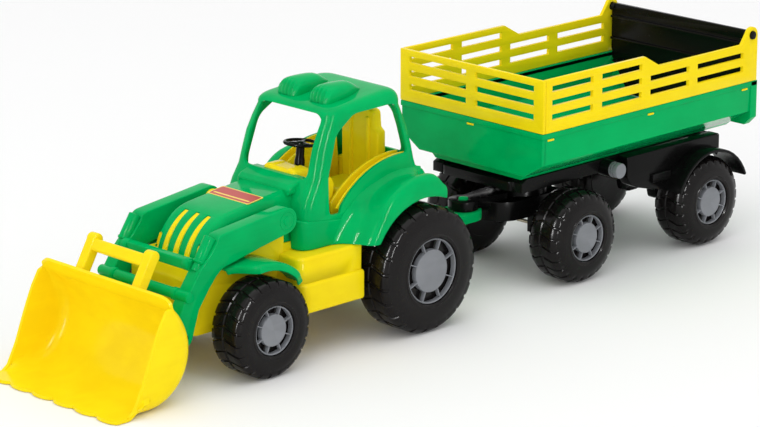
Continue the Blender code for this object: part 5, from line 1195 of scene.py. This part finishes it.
class TOY_OT_bucket(bpy.types.Operator):
    """Build the bucket as one curved shell with a scalloped lip, ears and a handle"""

    bl_idname = "toy.bucket"
    bl_label = "Bucket"
    CENTRE = (278.0, 41.6)
    RADIUS = 41.0
    # Angle on the curve at which the straight upper part of the back starts
    BACK_BEND = radians(125)
    HALF = 74.0
    TOP_Z = 84.0
    LIP_X = 309.0
    LOBE_REACH = 5.0
    THICK = 2.6
    EAR_Y = (31.6, 36.6)
    EAR_RADIUS = 7.0
    EAR_BORE = 3.3
    HANDLE_X = 252.85
    HANDLE_LEAN = radians(30)
    HANDLE_Y = (27.5, 36.7)

    def back(self, z):
        """Back of the side view at a height."""
        x, middle = self.CENTRE
        bend = middle + self.RADIUS * sin(self.BACK_BEND)
        if z > bend:
            start = x + self.RADIUS * cos(self.BACK_BEND)
            return start + (x - 19.0 - start) * (z - bend) / (self.TOP_Z - bend)
        return x - sqrt(self.RADIUS ** 2 - (z - middle) ** 2)

    def column(self, top):
        """Side view from a height on the back, round the curve and along the floor to the lip."""
        x, middle = self.CENTRE
        heights = [top + (middle - top) * (step / 20) ** 0.8 for step in range(20)]
        points = [(self.back(z), z) for z in heights]
        points += arc(self.CENTRE, self.RADIUS, 180, 270, 20)
        points += [(x + (self.LIP_X - x) * step / 12, middle - self.RADIUS) for step in range(1, 13)]
        return [Vector(point) for point in points]

    def shell(self, lobes, fillet):
        """Back, floor and ends as one sheet whose ends curve into the back."""
        half = self.HALF
        flat = half - fillet
        turns = 8
        corner = [-flat - fillet * sin(pi / 2 * (turns - step) / turns) for step in range(turns)]
        count = lobes * 8
        stations = corner + [-flat + 2 * flat * step / count for step in range(count + 1)]
        stations += [-y for y in corner[::-1]]
        columns = []
        for y in stations:
            over = max(0.0, abs(y) - flat)
            rise = fillet - sqrt(max(0.0, fillet ** 2 - over ** 2))
            part = (y + half) / (2 * half) * lobes
            bulge = 2 * (part - int(min(part, lobes - 0.001))) - 1
            lobe = self.LOBE_REACH * sqrt(max(0.0, 1 - bulge ** 2))
            points = self.column(self.TOP_Z - 0.6 * rise)
            last = len(points) - 1
            column = []
            for index, point in enumerate(points):
                along = (points[min(last, index + 1)] - points[max(0, index - 1)]).normalized()
                fade = (1 - smoothstep((point.x - 284) / 16)) * smoothstep((self.TOP_Z - point.y) / 26)
                lift = Vector((-along.y, along.x)) * (fade * rise)
                reach = lobe * max(0, index - last + 5) / 5
                column.append((point.x + lift.x + reach, y, point.y + lift.y))
            columns.append(column)
        shape = Shape().sheet(columns)
        for column in (columns[0], columns[-1]):
            rim = [point for index, point in enumerate(column) if point[0] < 301 or index < 20]
            front = self.end_edge(Vector((rim[0][0] + 0.2, rim[0][2])), len(rim))
            shape.sheet([[(x + (u - x) * part / 6, y, z + (v - z) * part / 6) for part in range(7)]
                         for (x, y, z), (u, v) in zip(rim, front)])
        return shape

    @staticmethod
    def end_edge(top, count):
        """Front edge of an end from its rounded top down to the floor."""
        edge = [top] + [Vector(point) for point in (
            (262.6, 74.0), (269.0, 63.4), (274.0, 52.5), (278.5, 41.7), (286.0, 22.5), (294.4, 6.6),
            (303.0, 0.7))]
        points = []
        for index in range(count):
            share = (len(edge) - 1) * index / (count - 1)
            first = min(int(share), len(edge) - 2)
            points.append(edge[first].lerp(edge[first + 1], share - first))
        return points

    def ears(self):
        """Two ears on the back, bored for the pins."""
        pin = pivot("bucket_tilt")
        root, middle = self.CENTRE[0] - self.RADIUS, self.CENTRE[1]
        return Shape().plate("side", *self.EAR_Y, arc(pin, self.EAR_RADIUS, 100, 260, 14) + [
            (root + 3.6, middle - 15), (root + 1.8, middle - 6), (root + 1.8, middle + 6),
            (root + 3.6, middle + 15)], round_hole(pin, self.EAR_BORE), edge=0.8).mirrored()

    def handle(self):
        """Grab handle on the top edge: two posts and a bar, leaning back."""
        lean = Matrix.Translation((self.HANDLE_X, 0, self.TOP_Z - 2.3))
        lean = lean @ Matrix.Rotation(-self.HANDLE_LEAN, 4, "Y")
        post = [(-4.2, -7.8), (4.2, -3.4)] + arc((0, 23.5), 4.8, -25, 205, 18)
        handle = Shape()
        for sign in SIDES.values():
            handle.plate("side", *span(sign, *self.HANDLE_Y), post, edge=1.5, steps=3, place=lean)
        return handle.plate("front", -3.8, 3.8, rounded(oblong((-30, 14.4), (30, 24))), edge=2.2,
                            steps=4, place=lean)

    def execute(self, context):
        sizes = context.scene.toy_sizes
        shell = self.shell(sizes.lip_lobes, mm(sizes.bucket_round))
        holder = placed("sheet", shell.data("sheet"))
        thick = holder.modifiers.new("thick", "SOLIDIFY")
        thick.thickness = self.THICK
        thick.offset = 1.0
        thick.use_even_offset = False
        scoop = Shape().take(evaluated(holder)).join(self.ears()).join(self.handle())
        scoop.piece("bucket_moulding", "bucket_body", "yellow_plastic", "bucket")
        return {"FINISHED"}


class TOY_OT_guards(bpy.types.Operator):
    """Build the curved mudguards over the front wheels"""

    bl_idname = "toy.guards"
    bl_label = "Front mudguards"
    STEPS = 30
    START = 66.0
    SWEEP = 80.0
    INNER_Y = 36.9
    WIDTH = 31.9

    def section(self, share):
        """Cross-section as (y, radius) at a share of the sweep from front to back."""
        reach = self.INNER_Y + self.WIDTH * (0.28 + 0.72 * smoothstep(share / 0.22))
        reach -= 5.0 * smoothstep((share - 0.8) / 0.2)
        inner = self.INNER_Y + 10.0 * smoothstep((share - 0.72) / 0.28)
        return [(inner, 46.6), (inner, 49.6), (reach - 5, 49.9), (reach - 2.2, 49.6), (reach - 0.6, 48.7),
                (reach, 47.4), (reach, 44.2), (reach - 0.7, 43.4), (reach - 2.0, 43.8), (reach - 2.6, 46.4)]

    def execute(self, context):
        x, z = pivot("front_axle_spin")
        for side, sign in SIDES.items():
            rows = []
            for step in range(self.STEPS + 1):
                share = step / self.STEPS
                turn = radians(self.START + self.SWEEP * share)
                rows.append([(x + radius * cos(turn), sign * y, z + radius * sin(turn))
                             for y, radius in self.section(share)])
            Shape().sheet(rows, loop=True, caps=True).piece(
                f"front_guard_{side}", "tractor", "green_plastic", f"front_mudguard_{side}",
                edge=0.8 * MM, limit=55)
        return {"FINISHED"}


class TOY_OT_chassis(bpy.types.Operator):
    """Build the lower body, the side caps and the side panels, and finish hitch, dolly and frame"""

    bl_idname = "toy.chassis"
    bl_label = "Running gear"
    SPINE_HALF = 35.0
    SPINE_Z = 86.0
    STEP_X = 55.0
    BELLY_HALF = 60.0
    BELLY_Z = 80.0
    STEP_Z = 60.0
    WALL = 2.5
    CHEEK_Y = (33.4, 36.5)
    CHEEK_RADIUS = 8.0
    AXLE_BORE = 2.4
    # Panel between a beam of the trailer and its mudguard
    PANEL_Y = (49.6, 60.4)
    PANEL_ARCH = 41.2

    def lower_body(self):
        """Yellow lower body: spine, rounded belly on a wider step, cheeks for the loader, hollow below."""
        low, high = train_box("tractor_chassis")
        front_axle = pivot("front_axle_spin")
        axle_x, axle_z = front_axle
        eye_x, eye_z = pivot("loader_lift")
        top, base, wall = self.SPINE_Z, low.z, self.WALL
        rear, front = self.STEP_X, axle_x - axle_z - 3.0
        spine = self.SPINE_HALF
        body = Shape().plate("side", -spine, spine, rounded([
            (low.x, base, 2), (high.x, base, 5), (high.x, 74, 4), (high.x - 11, top, 2),
            (low.x, top, 2)], 5), edge=1.6, steps=3)
        joined = []
        for half, height in ((self.BELLY_HALF, self.BELLY_Z), (high.y, self.STEP_Z)):
            joined.append(Shape().plate("plan", base + 4, height, rounded([
                (rear, -half, 3), (front, -half, 9), (front, half, 9), (rear, half, 3)], 6),
                edge=2.6, steps=5))
        cheek = [(eye_x - 8, 75), (axle_x - 6, 75), (axle_x - 8, 88), (eye_x + 18, eye_z - 8)]
        cheek += arc((eye_x, eye_z), self.CHEEK_RADIUS, 30, 180, 12)
        for sign in SIDES.values():
            joined.append(Shape().plate("side", *span(sign, *self.CHEEK_Y), cheek, edge=0.8))
        inside = spine - wall
        cut = []
        # Rear, front, half width and roof of each cell
        for back, fore, half, roof in (
                (low.x + wall, -8, inside, top - wall), (8, rear, inside, top - wall),
                (rear + wall, front - wall, 57.4, 77.4), (front, axle_x - 7, inside, top - wall),
                (axle_x + 7, high.x - 5, inside, 71.0)):
            cut.append(Shape().block((back, -half, base - 5), (fore, half, roof), 0.4))
        for x, z in (REAR_AXLE, front_axle):
            cut.append(Shape().rod((x, -80, z), (x, 80, z), self.AXLE_BORE, 0.1))
        return body.carved("UNION", *joined).carved("DIFFERENCE", *cut)

    @staticmethod
    def side_cap(node, sign):
        """Grey knob with two ring grooves."""
        low, high = train_box(node)
        radius = (high.z - low.z) / 2
        length = high.y - low.y
        foot = low.y if sign > 0 else high.y
        deep = radius - 1.1
        profile = [(0.02, 0.0), (radius, 0.0)]
        for groove in (0.9, 3.3):
            profile += [(radius, groove), (deep, groove + 0.15), (deep, groove + 1.25),
                        (radius, groove + 1.4)]
        profile += [(radius, length - 0.7), (radius - 0.2, length - 0.2), (radius - 0.7, length),
                    (deep, length), (0.02, length)]
        centre = Vector(((low.x + high.x) / 2, foot, (low.z + high.z) / 2))
        return Shape().turned([(r, sign * along) for r, along in profile], centre, ACROSS, 40)

    def apron(self):
        """Black side panels that join the beams of the trailer to the mudguards."""
        arch = arc(pivot("trailer_axle_spin"), self.PANEL_ARCH, 24, 126, 24)
        panel = Shape().plate("side", *self.PANEL_Y, rounded([
            (-361, 76, 0.5), (-361, 90.4, 3), (-245, 90.4, 1.5), (-245.5, 73, 3), (-250, 66, 4),
            (-259, 62, 4), (-280, 56.5, 4), (-296.5, 53.4, 0.3)], 4) + arch, edge=0.8)
        return panel.block((-297.0, 58.0, 63.0), (-275.0, 62.5, 70.5), 0.8).mirrored()

    def execute(self, context):
        self.lower_body().piece("lower_body", "tractor", "yellow_plastic", "tractor_chassis",
                                edge=0.6 * MM, limit=60)
        keep(["tow_hitch"], "green_plastic", 0.9 * MM)
        keep(["dolly", "kingpin", "trailer_frame", "trailer_mudguard_left", "trailer_mudguard_right"],
             "black_plastic")
        for side, sign in SIDES.items():
            self.side_cap(f"side_cap_{side}", sign).piece(f"ringed_cap_{side}", "trailer", "grey_plastic",
                                                          f"side_cap_{side}")
        self.apron().piece("frame_apron", "trailer", "black_plastic")
        keep(["tip_pin"], "steel_rod", 0.3 * MM)
        return {"FINISHED"}


class TOY_OT_tray(bpy.types.Operator):
    """Build the tray and the snap tabs of its rails, and finish the rails and the tailgate"""

    bl_idname = "toy.tray"
    bl_label = "Tray"
    RIM_Z = 131.0
    FOLD_Z = 109.5
    FLOOR_Z = 99.6
    FOOT_Z = 97.0
    KEEL_Y = 56.0
    WALL = 4.1
    END_WALL = 5.6
    EAR_Y = (33.7, 38.7)
    EAR_RADIUS = 5.5
    EAR_BORE = 2.35
    # Rear and front of each tab under a side rail, and heights of all tabs
    TABS_X = ((-135.2, -128.4), (-254, -247.2), (-372, -365.2))
    TABS_Z = (129.0, 130.6)

    def moulding(self):
        """Green tray: rim band, upright walls folded in at the foot, rear frame, keel and hinge ears."""
        low, high = train_box("tray")
        half, top = high.y, high.z
        rim, fold, foot, floor = self.RIM_Z, self.FOLD_Z, self.FOOT_Z, self.FLOOR_Z
        inner, keel, end = half - self.WALL, self.KEEL_Y, high.x - self.END_WALL

        def section(*left):
            return list(left) + [(-y, z) for y, z in reversed(left)]

        outside = (59.0, foot), (half - 1.2, fold), (half - 0.7, top - 1)
        tray = Shape().plate("front", low.x + 2, high.x - 3.0, section(
            (keel, floor), (inner, fold + 2), (inner, top - 1), *outside[::-1]), edge=0.6)
        tray.plate("front", end, high.x - 0.7, section(*outside), edge=1.2, steps=3)
        tray.plate("plan", rim, top, rounded([
            (low.x, -half, 0.5), (high.x, -half, 1.4), (high.x, half, 1.4), (low.x, half, 0.5),
            (low.x, inner, 0.3), (end, inner, 0.5), (end, -inner, 0.5), (low.x, -inner, 0.3)], 4), edge=0.6)
        tray.plate("front", low.x, low.x + 8, section(
            (keel, floor - 0.8), (inner, rim), (inner, top), (half, top), (half, foot + 7),
            (half - 7, foot)), edge=0.5)
        tray.plate("front", low.x, high.x - 9, section((48.0, 91.0), (keel, foot + 1)), edge=0.3)
        pin = pivot("tray_tip")
        radius = self.EAR_RADIUS
        ear = arc(pin, radius, 180, 360, 12) + [(pin[0] + radius, 92), (pin[0] - radius, 92)]
        for sign in SIDES.values():
            tray.plate("side", *span(sign, *self.EAR_Y), ear, round_hole(pin, self.EAR_BORE), edge=0.4)
        return tray

    def tabs(self):
        """Small tabs below the side rails and the front rail."""
        low, high = self.TABS_Z
        tabs = Shape()
        for rear, front in self.TABS_X:
            tabs.block((rear, 78.0, low), (front, 80.0, high), 0.4)
        return tabs.mirrored().block((-124.0, -3.6, low), (-122.0, 3.6, high), 0.4)

    def execute(self, context):
        self.moulding().piece("tray_moulding", "tray_body", "green_plastic", "tray")
        keep(["rail_left", "rail_right", "rail_front"], "yellow_plastic", 0.6 * MM)
        keep(["tailgate"], "black_plastic", 0.6 * MM)
        self.tabs().piece("rail_tabs", "tray_body", "yellow_plastic")
        return {"FINISHED"}


OPERATORS = (TOY_OT_stage, TOY_OT_chassis, TOY_OT_wheels, TOY_OT_cab, TOY_OT_inside, TOY_OT_bonnet,
             TOY_OT_loader, TOY_OT_bucket, TOY_OT_guards, TOY_OT_tray)
GROUPS = (("toy_colours", ToyColours), ("toy_sizes", ToySizes), ("toy_stage", ToyStage))


class TOY_PT_panel(bpy.types.Panel):
    """Sidebar panel with the values and the steps of the toy"""

    bl_idname = "TOY_PT_panel"
    bl_label = "Toy tractor"
    bl_space_type = "VIEW_3D"
    bl_region_type = "UI"
    bl_category = "Toy tractor"

    def draw(self, context):
        for name, group in GROUPS:
            values = getattr(context.scene, name)
            for value in group.__annotations__:
                self.layout.prop(values, value)
        for operator in OPERATORS:
            self.layout.operator(operator.bl_idname)


def register():
    for name, group in GROUPS:
        bpy.utils.register_class(group)
        setattr(bpy.types.Scene, name, PointerProperty(type=group))
    for kind in (*OPERATORS, TOY_PT_panel):
        bpy.utils.register_class(kind)


def unregister():
    for kind in (TOY_PT_panel, *reversed(OPERATORS)):
        bpy.utils.unregister_class(kind)
    for name, group in reversed(GROUPS):
        delattr(bpy.types.Scene, name)
        bpy.utils.unregister_class(group)


def main():
    register()
    for operator in OPERATORS:
        category, name = operator.bl_idname.split(".")
        getattr(getattr(bpy.ops, category), name)()


if __name__ == "__main__":
    main()
